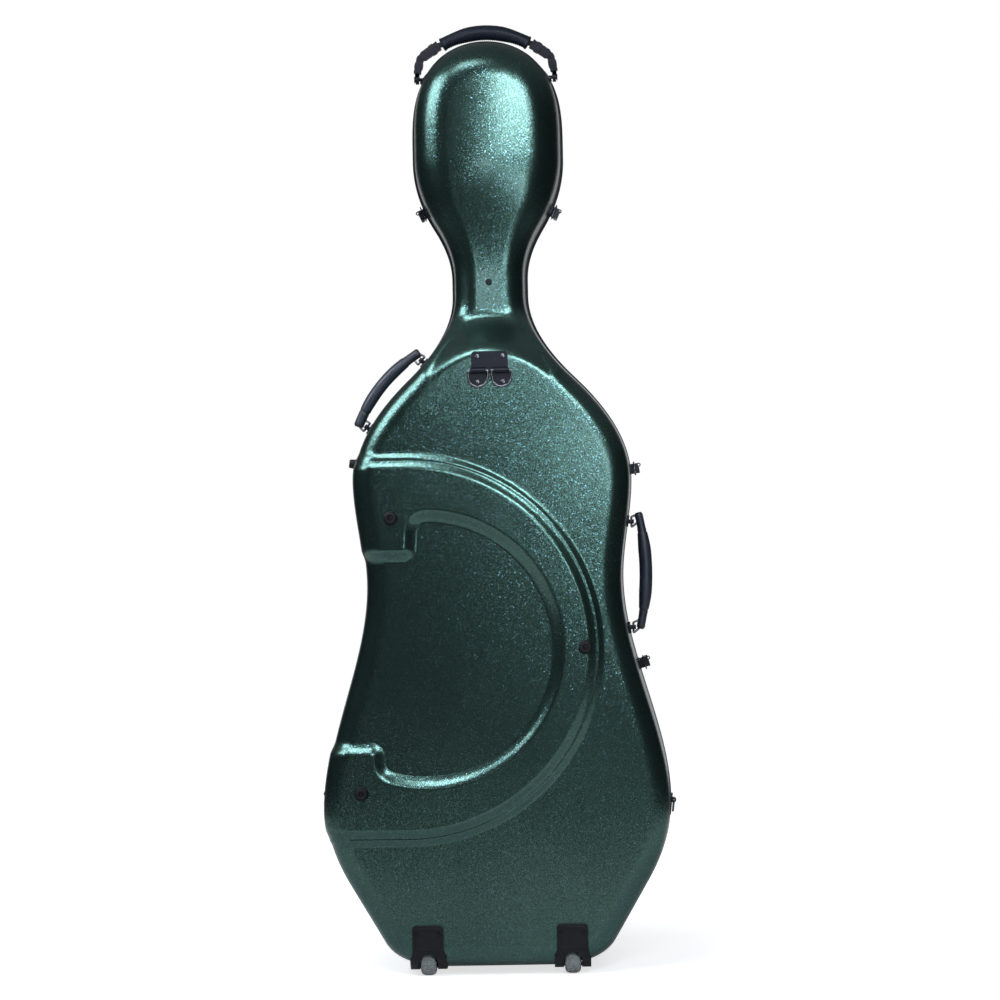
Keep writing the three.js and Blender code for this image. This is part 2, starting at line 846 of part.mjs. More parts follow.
function disc(x, radius, halfWidth, sides = 20) {
  const start = new THREE.Vector3(x - halfWidth, wheelY, wheelRadius);
  const end = new THREE.Vector3(x + halfWidth, wheelY, wheelRadius);
  return rodBetween(start, end, radius, sides);
}

function wheelShape() {
  const half = wheelWidth / 2;
  const bore = axleRadius + axlePlay;
  const hub = half + wheelSideGap / 2;
  const hubRadius = 2 * axleRadius;
  const profile = [
    new THREE.Vector2(bore, -hub),
    new THREE.Vector2(hubRadius, -hub),
    new THREE.Vector2(hubRadius + wheelSideGap, -half),
    new THREE.Vector2(wheelRadius - 2 * wheelTreadDrop, -half),
    new THREE.Vector2(wheelRadius - wheelTreadDrop / 2, -half + wheelTreadDrop),
    new THREE.Vector2(wheelRadius, -half / 3),
    new THREE.Vector2(wheelRadius, half / 3),
    new THREE.Vector2(wheelRadius - wheelTreadDrop / 2, half - wheelTreadDrop),
    new THREE.Vector2(wheelRadius - 2 * wheelTreadDrop, half),
    new THREE.Vector2(hubRadius + wheelSideGap, half),
    new THREE.Vector2(hubRadius, hub),
    new THREE.Vector2(bore, hub),
    new THREE.Vector2(bore, -hub),
  ];
  return new THREE.LatheGeometry(profile, 12).rotateZ(-Math.PI / 2);
}

// The back, the rounded lower edge and the bottom, as (y, z) points offset outwards
function edgeProfile(x, offset, steps) {
  const floor = backDepthAt(x, shellBottom + bracketTopHeight);
  const wallTop = floor - edgeRadius;
  const centre = new THREE.Vector2(-wallTop, shellBottom + draftShare * wallTop + edgeRadius);
  const points = [new THREE.Vector2(-floor - offset, shellBottom + bracketTopHeight)];
  for (let k = 0; k <= steps; k += 1) {
    const angle = Math.PI / 2 * k / steps;
    points.push(new THREE.Vector2(
      centre.x - (edgeRadius + offset) * Math.cos(angle),
      centre.y - (edgeRadius + offset) * Math.sin(angle),
    ));
  }
  points.push(new THREE.Vector2(bracketReach - floor, centre.y - edgeRadius - offset
    - draftShare * (bracketReach - edgeRadius)));
  return points;
}

function bracketFront() {
  const top = shellBottom + bracketTopHeight;
  const waist = shellBottom + bracketWaistHeight;
  const half = bracketTopWidth / 2;
  const foot = bracketFootWidth / 2;
  const outline = new THREE.Shape();
  outline.moveTo(-foot, 0);
  outline.lineTo(foot, 0);
  outline.lineTo(foot, waist - bracketCorner);
  outline.quadraticCurveTo(half, waist, half, waist + bracketCorner);
  outline.lineTo(half, top - bracketCorner);
  outline.absarc(half - bracketCorner, top - bracketCorner, bracketCorner, 0, Math.PI / 2);
  outline.lineTo(bracketCorner - half, top);
  outline.absarc(bracketCorner - half, top - bracketCorner, bracketCorner, Math.PI / 2, Math.PI);
  outline.lineTo(-half, waist + bracketCorner);
  outline.quadraticCurveTo(-half, waist, -foot, waist - bracketCorner);
  return outline;
}

function bracketSlot() {
  const half = wheelWidth / 2 + wheelSideGap;
  const top = shellBottom + bracketArchHeight;
  const outline = new THREE.Shape();
  outline.moveTo(-half, -overrun);
  outline.lineTo(half, -overrun);
  outline.lineTo(half, top - half / 2);
  outline.quadraticCurveTo(half, top, 0, top);
  outline.quadraticCurveTo(-half, top, -half, top - half / 2);
  return outline;
}

function wheelBracket(side, shellSpace) {
  const outer = edgeProfile(wheelX, fitGap + bracketThickness, 4);
  const foot = bracketFootWidth / 2;
  const reach = backDepthAt(wheelX, shellBottom + bracketTopHeight) + 2 * overrun;
  const filledOutline = new THREE.Shape([...outer, new THREE.Vector2(outer.at(-1).x, outer[0].y)]);
  const block = solid(alongX(filledOutline, -foot, foot));
  const front = solid(alongY(bracketFront(), -reach, 0, 3));
  const slot = solid(alongY(bracketSlot(), -reach, wheelY + wheelRadius + wheelWellGap, 4));
  const filled = solid(alongX(filledOutline, -wellHalfWidth, wellHalfWidth));
  const earInner = wheelWidth / 2 + wheelSideGap;
  const earRadius = wellRadius - 2 * fitGap;
  const ears = [-1, 1].map((end) => {
    const ear = disc(end * (earInner + earThickness / 2), earRadius, earThickness / 2);
    return solid(ear).intersect(filled);
  });
  const axle = solid(disc(0, axleRadius, earInner + earThickness, smallSides));
  const screwHeight = shellBottom + bracketTopHeight - 2 * bracketCorner;
  const screwY = outer[0].x;
  const sinks = [-1, 1].map((end) => {
    const x = end * (bracketTopWidth / 2 - bracketCorner);
    const from = new THREE.Vector3(x, screwY - overrun, screwHeight);
    const to = new THREE.Vector3(x, screwY + screwSink, screwHeight);
    return solid(rodBetween(from, to, screwRadius));
  });
  const space = solid(disc(0, wheelRadius + wheelWellGap / 2, earInner));
  const plate = block.intersect(front).subtract(shellSpace.translate([-side * wheelX, 0, 0])).subtract(slot).subtract(space);
  return cutAll(plate.add(ears[0]).add(ears[1]).add(axle), sinks);
}

// Shells and linings

function wheelWells(radius, halfWidth) {
  return [-1, 1].map((side) => solid(disc(side * wheelX, radius, halfWidth)));
}

// Line that touches the left side of both bouts, in the seam plane
function bridgeLine() {
  const side = sidePoints.filter((p) => p.y > shellBottom + cornerHeight && p.y < shellBottom + neckHeight);
  const middle = shellBottom + waistHeight;
  const lower = side.filter((p) => p.y < middle);
  const upper = side.filter((p) => p.y > middle);
  let best = [lower[0], upper[0]];
  const outside = (a, b, p) => (b.y - a.y) * (p.x - a.x) - (b.x - a.x) * (p.y - a.y) > weld * b.y;
  lower.forEach((a) => upper.forEach((b) => {
    if (!side.some((p) => outside(a, b, p))) {
      best = [a, b];
    }
  }));
  return best;
}

const [hingeLow, hingeHigh] = bridgeLine();
const hingeAlong = new THREE.Vector3(hingeLow.x - hingeHigh.x, 0, hingeHigh.y - hingeLow.y).normalize();
const hingeOutward = new THREE.Vector3(-hingeAlong.z, 0, hingeAlong.x);

function hingePoint(height) {
  const z = shellBottom + height;
  const base = new THREE.Vector3(-hingeLow.x, 0, hingeLow.y).addScaledVector(hingeOutward, hingeStandOff);
  return base.addScaledVector(hingeAlong, (z - base.z) / hingeAlong.z);
}

function hingeRod(height, radius, fromShare, toShare, sides = smallSides) {
  const middle = hingePoint(height);
  const start = middle.clone().addScaledVector(hingeAlong, fromShare * hingeLength);
  const end = middle.clone().addScaledVector(hingeAlong, toShare * hingeLength);
  return rodBetween(start, end, radius, sides);
}

const hingeHeights = { upper: upperHingeHeight, lower: lowerHingeHeight };

function hingeNotches() {
  const extra = hingeNotchGap / hingeLength;
  return Object.values(hingeHeights).map((height) => (
    solid(hingeRod(height, hingeRadius + hingeNotchGap, -0.5 - extra, 0.5 + extra))
  ));
}

function cutAll(body, cutters) {
  return cutters.reduce((rest, cutter) => rest.subtract(cutter), body);
}

function neckScrewHole(radius) {
  const z = shellBottom + neckScrewHeight;
  const start = new THREE.Vector3(0, -backNeckDepth - overrun, z);
  const end = new THREE.Vector3(0, -backNeckDepth + neckScrewLength + overrun, z);
  return solid(rodBetween(start, end, radius));
}

function baseShell() {
  const plain = solid(tray({ ...back, columns: plateauColumns, rim: baseRimGap }));
  const grown = solid(tray({
    ...back, columns: plateauColumns, rim: baseRimGap, extra: bandHeight, draft: bandDraftShare,
  }));
  const band = grown.intersect(solid(bandPrism()));
  const inside = solid(tray({ ...back, columns: innerColumns, skin: shellWall, rim: -overrun, edgeSteps: 2 }));
  const wells = wheelWells(wellRadius, wellHalfWidth);
  const wellWalls = wheelWells(wellRadius + shellWall, wellHalfWidth + shellWall);
  const outside = cutAll(plain.add(band), wells);
  const cavity = cutAll(inside, wellWalls);
  return cutAll(outside.subtract(cavity), [...hingeNotches(), neckScrewHole(neckScrewRadius + neckScrewPlay)]);
}

function lidShell() {
  const outside = solid(tray({ ...front, columns: plateauColumns, rim: lidRimGap }));
  const inside = solid(tray({ ...front, columns: innerColumns, skin: shellWall, rim: -overrun, edgeSteps: 2 }));
  return cutAll(outside.subtract(inside), hingeNotches());
}

function lining(shell, cutters) {
  const outer = shellWall + fitGap;
  const outside = solid(tray({ ...shell, columns: innerColumns, skin: outer, rim: liningRimGap, edgeSteps: 1 }));
  const inside = solid(tray({
    ...shell, columns: innerColumns, skin: outer + liningThickness, rim: -overrun, edgeSteps: 1,
  }));
  return cutAll(outside.subtract(inside), cutters);
}

function rimSeal() {
  const proud = (p) => -THREE.MathUtils.lerp(
    sealProud, sealNeckProud, smoothStep(p.y - shellBottom, archCentreHeight, neckHeight),
  );
  const outline = seamOutline(innerColumns);
  const outer = inset(outline, proud);
  const inner = inset(outline, sealWidth);
  const low = sealSeatGap - baseRimGap;
  const high = lidRimGap - sealSeatGap;
  const corners = [[outer, low], [outer, high], [inner, high], [inner, low]];
  const points = corners.flatMap(([ring, y]) => ring.map((p) => new THREE.Vector3(p.x, y, p.y)));
  const count = outline.length;
  const triangles = [];
  for (let k = 0; k < corners.length; k += 1) {
    const nextRing = (k + 1) % corners.length;
    for (let i = 0; i < count; i += 1) {
      const next = (i + 1) % count;
      const [a, b] = [k * count + i, k * count + next];
      const [d, c] = [nextRing * count + i, nextRing * count + next];
      triangles.push([a, b, c], [a, c, d]);
    }
  }
  return cutAll(solid(meshOf(points, triangles)), hingeNotches());
}

mesh('base_shell', shape(baseShell()), 'shell');
mesh('lid_shell', shape(lidShell()), 'shell');
mesh('rim_seal', shape(rimSeal()), 'seal');
const liningWells = wheelWells(wellRadius + shellWall + fitGap, wellHalfWidth + shellWall + fitGap);
mesh('base_lining', shape(lining(back, [...liningWells, neckScrewHole(neckScrewRadius + neckScrewPlay)])), 'lining');
mesh('lid_lining', shape(lining(front, [])), 'lining');

const seamShift = (backFootReach - lidDepth - lidCrown - bridgeBulge) / 2;
const joints = {};

function joint(name, point, axis, turn) {
  joints[name] = {
    point: point.clone().setY(point.y + seamShift).toArray(),
    axis: axis.clone().normalize().toArray(),
    turn,
  };
}

const aroundBack = solid(tray({ ...back, columns: plateauColumns, skin: -fitGap, rim: -overrun }));
[['left', -1], ['right', 1]].forEach(([name, side]) => {
  const x = side * wheelX;
  mesh(`wheel_bracket_${name}`, shape(wheelBracket(side, aroundBack)), 'blackPlastic').position.x = x;
  mesh(`wheel_${name}`, wheelShape(), 'wheel').position.set(x, wheelY, wheelRadius);
  joint(`wheel_${name}`, new THREE.Vector3(x, wheelY, wheelRadius), new THREE.Vector3(1, 0, 0), 'continuous');
});

// Rubber feet

function footShape(radius, reach, recess) {
  const profile = [
    new THREE.Vector2(0, 0),
    new THREE.Vector2(radius, 0),
    new THREE.Vector2(radius, reach / 3),
    new THREE.Vector2(radius - footTaper, reach),
    new THREE.Vector2(recess, reach),
    new THREE.Vector2(recess, reach - footTaper),
    new THREE.Vector2(0, reach - footTaper),
  ];
  return new THREE.LatheGeometry(profile, roundSides);
}

const backFeet = {
  upper: [upperFootX, bandCentreHeight + upperFootRise],
  middle: [middleFootX, bandCentreHeight - middleFootDrop],
  lower: [lowerFootX, bandCentreHeight - lowerFootDrop],
};
Object.entries(backFeet).forEach(([name, [x, height]]) => {
  const seat = backPoint(x, height);
  const reach = backFootReach + seat.y - bandHeight - 2 * fitGap;
  const foot = mesh(`back_foot_${name}`, footShape(backFootRadius, reach, footRecess), 'rubber');
  foot.position.set(seat.x, reach - backFootReach, seat.z);
  foot.rotation.x = Math.PI;
});

const sideFeet = {
  upper: [upperBoutHeight + upperSideFootRise, upperSideFootReach],
  lower: [lowerBoutHeight + lowerSideFootRise, lowerSideFootReach],
};
Object.entries(sideFeet).forEach(([name, [height, reach]]) => {
  const frame = wallFrame(-1, height, handleDepth, back.facing);
  const foot = footShape(sideFootRadius, reach - fitGap, footRecess).rotateZ(-Math.PI / 2).translate(fitGap, 0, 0);
  mesh(`side_foot_${name}`, foot.applyMatrix4(frame), 'rubber');
});

[['left', -1], ['right', 1]].forEach(([name, side]) => {
  const seat = shellBottom + draftShare * (bottomFootDepth - bottomFootRadius) - fitGap;
  const foot = mesh(`bottom_foot_${name}`, footShape(bottomFootRadius, seat, footRecess), 'rubber');
  foot.position.set(side * bottomFootX, bottomFootDepth, seat);
  foot.rotation.x = -Math.PI / 2;
});

// D-rings: the straight bar lies along X, the loop hangs down

function ringShape(halfWidth, drop) {
  const loop = [
    new THREE.Vector3(-halfWidth, 0, 0),
    new THREE.Vector3(-halfWidth, 0, -drop * 0.35),
    new THREE.Vector3(-halfWidth * 0.78, 0, -drop * 0.78),
    new THREE.Vector3(0, 0, -drop),
    new THREE.Vector3(halfWidth * 0.78, 0, -drop * 0.78),
    new THREE.Vector3(halfWidth, 0, -drop * 0.35),
    new THREE.Vector3(halfWidth, 0, 0),
  ];
  const bar = rodBetween(
    new THREE.Vector3(-halfWidth - ringWire, 0, 0), new THREE.Vector3(halfWidth + ringWire, 0, 0), ringWire, wireSides,
  );
  return shape(join(wire(loop, ringWire, 10), bar));
}

// A half-round hump over a bar along X, standing on the plane y = rise
function knuckle(x, length, radius, rise, bore) {
  const start = new THREE.Vector3(x - length / 2, 0, 0);
  const end = new THREE.Vector3(x + length / 2, 0, 0);
  const foot = box(new THREE.Vector3(start.x, 0, -radius), new THREE.Vector3(end.x, rise, radius));
  const over = new THREE.Vector3(overrun, 0, 0);
  const hole = solid(rodBetween(start.clone().sub(over), end.clone().add(over), bore));
  return [join(rodBetween(start, end, radius), foot), hole];
}

function strapBracket() {
  const outer = -knuckleRise + fitGap;
  const inner = 0;
  const plate = alongY(
    roundedRectangle(strapPlateWidth, strapPlateHeight, strapPlateCorner),
    inner - strapPlateThickness - fitGap, inner - fitGap, 3,
  );
  const lobes = [-1, 1].map((side) => alongY(
    circle(strapLobeRadius, side * strapLobeX, -strapLobeDrop), inner - strapPlateThickness - fitGap, inner - fitGap,
  ));
  const bridge = alongY(
    roundedRectangle(strapPlateWidth, strapLobeDrop, strapPlateCorner / 2, -strapLobeDrop / 2),
    inner - strapPlateThickness - fitGap, inner - fitGap, 1,
  );
  let body = join(plate, bridge, ...lobes);
  const holes = [];
  [-1, 1].forEach((side) => {
    const [hump, hole] = knuckle(
      side * knuckleX, knuckleLength, knuckleRadius, -outer - fitGap / 2, ringWire + ringPlay,
    );
    const place = [0, -knuckleRise - fitGap, -strapKnuckleDrop];
    body = body.add(hump.translate(place));
    holes.push(hole.translate(place));
    [strapScrewRise, -strapLobeDrop - strapScrewRise].forEach((z) => {
      const from = new THREE.Vector3(side * strapLobeX, -strapPlateThickness - fitGap - overrun, z);
      const to = new THREE.Vector3(side * strapLobeX, -strapPlateThickness - fitGap + screwSink, z);
      holes.push(solid(rodBetween(from, to, screwRadius)));
    });
  });
  return cutAll(body, holes);
}

const strapSeat = backPoint(0, strapBracketHeight);
const strapPieces = mesh('strap_bracket', shape(strapBracket()), 'blackMetal');
strapPieces.position.copy(strapSeat);
[['left', -1], ['right', 1]].forEach(([name, side]) => {
  const point = strapSeat.clone().add(
    new THREE.Vector3(side * (ringHalfWidth + 2 * ringWire), -knuckleRise - fitGap, -strapKnuckleDrop),
  );
  const ring = mesh(`strap_ring_${name}`, ringShape(ringHalfWidth, ringDrop), 'greyMetal');
  ring.position.copy(point);
  joint(`strap_ring_${name}`, point, new THREE.Vector3(-1, 0, 0), [0, strapRingSwing]);
});

const ringHeights = { left: [-1, leftRingHeight], right: [1, rightRingHeight] };
const towardsWall = new THREE.Matrix4().makeBasis(
  new THREE.Vector3(0, 1, 0), new THREE.Vector3(-1, 0, 0), new THREE.Vector3(0, 0, 1),
);
Object.entries(ringHeights).forEach(([name, [side, height]]) => {
  const frame = wallFrame(side, height, handleDepth, back.facing).multiply(towardsWall);
  const plate = alongY(
    roundedRectangle(lowerPlateWidth, lowerPlateHeight, lowerPlateCorner),
    -lowerPlateThickness - latchGap, -latchGap, 3,
  );
  const [hump, hole] = knuckle(
    0, lowerKnuckleLength, lowerKnuckleRadius, lowerKnuckleRise - lowerPlateThickness / 2, ringWire + ringPlay,
  );
  const place = [0, -lowerKnuckleRise - latchGap, lowerKnuckleLift];
  const body = join(plate).add(hump.translate(place)).subtract(hole.translate(place));
  mesh(`lower_ring_plate_${name}`, shape(body).applyMatrix4(frame), 'blackMetal');
  const ring = ringShape(lowerRingHalfWidth, lowerRingDrop).translate(...place).applyMatrix4(frame);
  mesh(`lower_ring_${name}`, ring, 'greyMetal');
  const axis = new THREE.Vector3(-1, 0, 0).transformDirection(frame);
  joint(`lower_ring_${name}`, new THREE.Vector3(...place).applyMatrix4(frame), axis, [0, lowerRingSwing]);
});

// Hinges

function hingeFrame(height) {
  const basis = new THREE.Matrix4().makeBasis(
    hingeOutward, new THREE.Vector3(0, 1, 0), new THREE.Vector3().crossVectors(hingeOutward, new THREE.Vector3(0, 1, 0)),
  );
  return basis.setPosition(hingePoint(height));
}

function hingeLeaf(facing) {
  const inner = fitGap - hingeStandOff;
  const outer = inner + hingeLeafThickness;
  const drop = draftShare * hingeLeafReach;
  const outline = new THREE.Shape([
    new THREE.Vector2(inner, 0),
    new THREE.Vector2(inner - drop, facing * hingeLeafReach),
    new THREE.Vector2(outer - drop, facing * hingeLeafReach),
    new THREE.Vector2(outer, 0),
  ]);
  return solid(alongZ(outline, -hingeLength / 2, hingeLength / 2));
}

function hingeSegment(radius, from, to) {
  return solid(rodBetween(new THREE.Vector3(0, 0, from), new THREE.Vector3(0, 0, to), radius));
}

Object.entries(hingeHeights).forEach(([name, height]) => {
  const frame = hingeFrame(height);
  const half = hingeLength / 2;
  const middle = hingeMiddle / 2;
  const clear = hingeRadius + hingePlay;
  const lidKnuckle = hingeSegment(hingeRadius, -middle, middle);
  const lidLeaf = cutAll(hingeLeaf(1), [
    hingeSegment(clear, -half - hingePlay, -middle),
    hingeSegment(clear, middle, half + hingePlay),
  ]).add(lidKnuckle).subtract(hingeSegment(hingePin + hingePlay, -half, half));
  const start = middle + hingePlay;
  const baseLeaf = cutAll(hingeLeaf(-1), [hingeSegment(clear, -start, start)])
    .add(hingeSegment(hingeRadius, -half, -start))
    .add(hingeSegment(hingeRadius, start, half))
    .add(hingeSegment(hingePin, -half, half));
  mesh(`hinge_${name}_lid_leaf`, shape(lidLeaf).applyMatrix4(frame), 'blackMetal');
  mesh(`hinge_${name}_base_leaf`, shape(baseLeaf).applyMatrix4(frame), 'blackMetal');
});
joint('lid', hingePoint((upperHingeHeight + lowerHingeHeight) / 2), hingeAlong, [0, lidSwing]);

// Draw latches, in a frame with X out of the wall, Y towards the lid

function latchRod(x, y, from, to, radius, sides = smallSides) {
  return rodBetween(new THREE.Vector3(x, y, from), new THREE.Vector3(x, y, to), radius, sides);
}

function latchPlate(up) {
  const half = latchPlateWidth / 2;
  const low = latchGap;
  const plate = box(
    new THREE.Vector3(low, latchPlateStart, -half),
    new THREE.Vector3(low + latchPlateThickness, latchPlateReach, half),
  );
  const wall = box(
    new THREE.Vector3(low, latchPlateStart, -half),
    new THREE.Vector3(latchWallRise, latchPlateStart + latchWallThickness, half),
  );
  const cheeks = [-1, 1].map((side) => box(
    new THREE.Vector3(low, latchPlateStart, Math.min(side * latchCheekInner, side * latchCheekOuter)),
    new THREE.Vector3(latchCheekRise, latchCheekReach, Math.max(side * latchCheekInner, side * latchCheekOuter)),
  ));
  const pin = latchRod(latchPivotRise, latchPivotReach, -latchCheekOuter, latchCheekOuter, latchPin);
  const eyeAt = (radius, from, to) => rodBetween(
    new THREE.Vector3(latchWallRise, from, up * (half - latchEyeRadius)),
    new THREE.Vector3(latchWallRise, to, up * (half - latchEyeRadius)),
    radius,
  );
  const wallEnd = latchPlateStart + latchWallThickness;
  const body = join(plate, wall, ...cheeks, pin, eyeAt(latchEyeRadius, latchPlateStart, wallEnd));
  return body.subtract(solid(eyeAt(latchEyeHole, latchPlateStart - overrun, wallEnd + overrun)));
}

function latchLever() {
  const barrelHalf = latchCheekInner - latchPlay;
  const top = leverRise + leverThickness;
  const barrel = latchRod(latchPivotRise, latchPivotReach, -barrelHalf, barrelHalf, latchBarrelRadius);
  const web = box(
    new THREE.Vector3(latchPivotRise, leverStart, -barrelHalf),
    new THREE.Vector3(top, 2 * latchPivotReach - leverStart, barrelHalf),
  );
  const tongue = box(
    new THREE.Vector3(leverRise, leverStart, -barrelHalf),
    new THREE.Vector3(top, leverReach, barrelHalf),
  );
  const plate = box(
    new THREE.Vector3(leverRise, leverShoulderReach, -leverHalfWidth),
    new THREE.Vector3(top, leverReach, leverHalfWidth),
  );
  const curl = latchRod(
    leverRise + leverCurlRadius, leverReach, -leverHalfWidth, leverHalfWidth, leverCurlRadius,
  );
  const ears = [-1, 1].flatMap((side) => {
    const outer = side * leverHalfWidth;
    const inner = side * (leverHalfWidth - leverEarThickness);
    const [from, to] = [Math.min(outer, inner), Math.max(outer, inner)];
    return [
      latchRod(bailPivotRise, bailPivotReach, from, to, leverEarRadius),
      box(
        new THREE.Vector3(bailPivotRise, bailPivotReach - leverEarRadius, from),
        new THREE.Vector3(top, bailPivotReach + leverEarRadius, to),
      ),
    ];
  });
  const bore = latchRod(latchPivotRise, latchPivotReach, -leverHalfWidth, leverHalfWidth, latchPin + latchPlay);
  const holes = latchRod(
    bailPivotRise, bailPivotReach, -bailHalfWidth, bailHalfWidth, bailWire + latchPlay,
  );
  return join(barrel, web, tongue, plate, curl, ...ears).subtract(solid(bore)).subtract(solid(holes));
}

function latchBail() {
  const inner = leverHalfWidth - leverEarThickness - latchPlay;
  const slope = new THREE.Vector3(bailPivotRise - bailBarRise, bailPivotReach + bailBarReach, 0).setLength(bailWire);
  const legs = [-1, 1].flatMap((side) => {
    const top = new THREE.Vector3(bailPivotRise, bailPivotReach, side * bailHalfWidth);
    const low = new THREE.Vector3(bailBarRise, -bailBarReach, side * bailHalfWidth);
    const stub = latchRod(
      bailPivotRise, bailPivotReach, side * inner, side * bailHalfWidth, bailWire, wireSides,
    );
    return [rodBetween(low.sub(slope), top.add(slope), bailWire, wireSides), stub];
  });
  const bar = latchRod(bailBarRise, -bailBarReach, -bailHalfWidth, bailHalfWidth, bailWire, wireSides);
  return shape(join(bar, ...legs));
}

function latchKeeper() {
  const plate = box(
    new THREE.Vector3(latchGap, -keeperReach, -keeperHalfWidth),
    new THREE.Vector3(latchGap + keeperPlateThickness, -keeperStart, keeperHalfWidth),
  );
  const lip = box(
    new THREE.Vector3(latchGap, -keeperLipReach, -keeperHalfWidth),
    new THREE.Vector3(keeperLipRise, keeperLipThickness - keeperLipReach, keeperHalfWidth),
  );
  const tip = box(
    new THREE.Vector3(keeperLipRise - keeperLipThickness / 2, -keeperLipReach - keeperLipThickness / 2, -keeperHalfWidth),
    new THREE.Vector3(keeperLipRise, keeperLipThickness - keeperLipReach, keeperHalfWidth),
  );
  return join(plate, lip, tip);
}

Object.entries(latchHeights).forEach(([name, height]) => {
  const side = name.startsWith('left') ? -1 : 1;
  const frame = latchFrame(side, height, front.facing);
  const keeperFrame = latchFrame(side, height, back.facing);
  mesh(`latch_plate_${name}`, shape(latchPlate(side)).applyMatrix4(frame), 'blackMetal');
  mesh(`latch_lever_${name}`, shape(latchLever()).applyMatrix4(frame), 'greyMetal');
  mesh(`latch_bail_${name}`, latchBail().applyMatrix4(frame), 'greyMetal');
  mesh(`latch_keeper_${name}`, shape(latchKeeper()).applyMatrix4(keeperFrame), 'blackMetal');
  const axis = new THREE.Vector3(0, 0, -1).transformDirection(frame);
  joint(`lever_${name}`, new THREE.Vector3(latchPivotRise, latchPivotReach, 0).applyMatrix4(frame), axis, [0, leverSwing]);
  const bailPivot = new THREE.Vector3(bailPivotRise, bailPivotReach, 0).applyMatrix4(frame);
  joint(`bail_${name}`, bailPivot, axis, [-bailSwingShare * leverSwing, 0]);
});

// Carrying handles

function handleFrame(side, { low, high }) {
  const ends = [low, high].map((height) => wallFrame(side, height, handleDepth, back.facing));
  const [first, last] = ends.map((frame) => new THREE.Vector3(handleAxisRise, 0, 0).applyMatrix4(frame));
  const along = new THREE.Vector3().subVectors(last, first).normalize();
  const outward = new THREE.Vector3(side * along.z, 0, -side * along.x);
  const middle = new THREE.Vector3().addVectors(first, last).multiplyScalar(0.5);
  return { ends, frame: frameOf(middle, outward, along), half: first.distanceTo(last) / 2 };
}

function handleAnchor(wall, frame, z) {
  const plate = alongY(
    roundedRectangle(handlePlateWidth, handlePlateHeight, handlePlateCorner),
    -handlePlateThickness - handlePlateGap, -handlePlateGap, 3,
  ).applyMatrix4(towardsWall).applyMatrix4(wall);
  const radius = handleWire + handlePlay + handleEyeWall;
  const eye = latchRod(0, 0, z - handleEyeHalf, z + handleEyeHalf, radius).applyMatrix4(frame);
  const saddle = box(
    new THREE.Vector3(handlePlateGap + handlePlateThickness / 2 - handleAxisRise, -radius, z - handleEyeHalf),
    new THREE.Vector3(0, radius, z + handleEyeHalf),
  ).applyMatrix4(frame);
  const bore = latchRod(0, 0, z - 2 * handleEyeHalf, z + 2 * handleEyeHalf, handleWire + handlePlay);
  return join(plate, eye, saddle).subtract(solid(bore.applyMatrix4(frame)));
}

function gripRadiusAt(share, middle, end) {
  return THREE.MathUtils.lerp(end, middle, smoothStep(Math.min(share, 1 - share), 0.1, 0.34));
}

function sideHandle({ slip, bulge, middle, end }, half) {
  const reach = half + gripEndReach;
  const path = Array.from({ length: gripSteps + 1 }, (_, i) => {
    const share = 2 * i / gripSteps - 1;
    return new THREE.Vector3(gripRise + bulge * (1 - share * share), 0, slip + share * reach);
  });
  const grip = sweep(path, new THREE.Vector3(0, 1, 0), (share) => {
    const radius = gripRadiusAt(share, middle, end);
    return [radius, radius * gripWideShare];
  }, gripSides);
  const loops = [-half, half].map((z) => wire([
    new THREE.Vector3(gripRise, 0, z + slip + handleLegHalf - handleWire),
    new THREE.Vector3(handleLegBend, 0, z + handleLegHalf),
    new THREE.Vector3(0, 0, z + handleLegHalf - handleLegBend),
    new THREE.Vector3(0, 0, z + handleLegHalf - 2 * handleLegBend),
    new THREE.Vector3(0, 0, z - handleLegHalf + 2 * handleLegBend),
    new THREE.Vector3(0, 0, z - handleLegHalf + handleLegBend),
    new THREE.Vector3(handleLegBend, 0, z - handleLegHalf),
    new THREE.Vector3(gripRise, 0, z + slip - handleLegHalf + handleWire),
  ], handleWire, 16));
  return join(grip, ...loops);
}

[['shoulder', -1, shoulderHandle], ['waist', 1, waistHandle]].forEach(([name, side, sizes]) => {
  const { ends, frame, half } = handleFrame(side, sizes);
  mesh(`${name}_handle`, shape(sideHandle(sizes, half)).applyMatrix4(frame), 'grip');
  mesh(`${name}_anchor_low`, shape(handleAnchor(ends[0], frame, -half)), 'blackMetal');
  mesh(`${name}_anchor_high`, shape(handleAnchor(ends[1], frame, half)), 'blackMetal');
  const middle = new THREE.Vector3().setFromMatrixPosition(frame);
  joint(`${name}_handle`, middle, new THREE.Vector3(0, 0, 1).transformDirection(frame), [-handleSwing, handleSwing]);
});

// Top handle: one strap runs through the hollow grip to a stud at each side

const topStrapX = topStrapStandOff
  + new THREE.Vector3().setFromMatrixPosition(wallFrame(1, topAnchorHeight, topHandleDepth, back.facing)).x;

function topGripPoint(x) {
  const drop = topGripDrop * (x / topGripHalfLength) ** 2;
  return new THREE.Vector3(x, -topHandleDepth, shellBottom + topGripHeight - drop);
}

function topStrapPath() {
  const anchorZ = shellBottom + topAnchorHeight;
  const side = (sign) => [
    new THREE.Vector3(sign * topStrapX, -topHandleDepth, anchorZ + strapEyeLength / 2),
    new THREE.Vector3(sign * topStrapX, -topHandleDepth, anchorZ + 2 * strapEyeLength),
    new THREE.Vector3(sign * (topStrapX - strapShoulderInset), -topHandleDepth, anchorZ + strapShoulderRise),
    new THREE.Vector3(sign * (topStrapX - strapBendInset), -topHandleDepth, anchorZ + strapBendRise),
  ];
  const inside = Array.from({ length: topGripSteps + 1 }, (_, i) => (
    topGripPoint(topGripHalfLength * (2 * i / topGripSteps - 1))
  ));
  return [...side(-1), ...inside, ...side(1).reverse()];
}

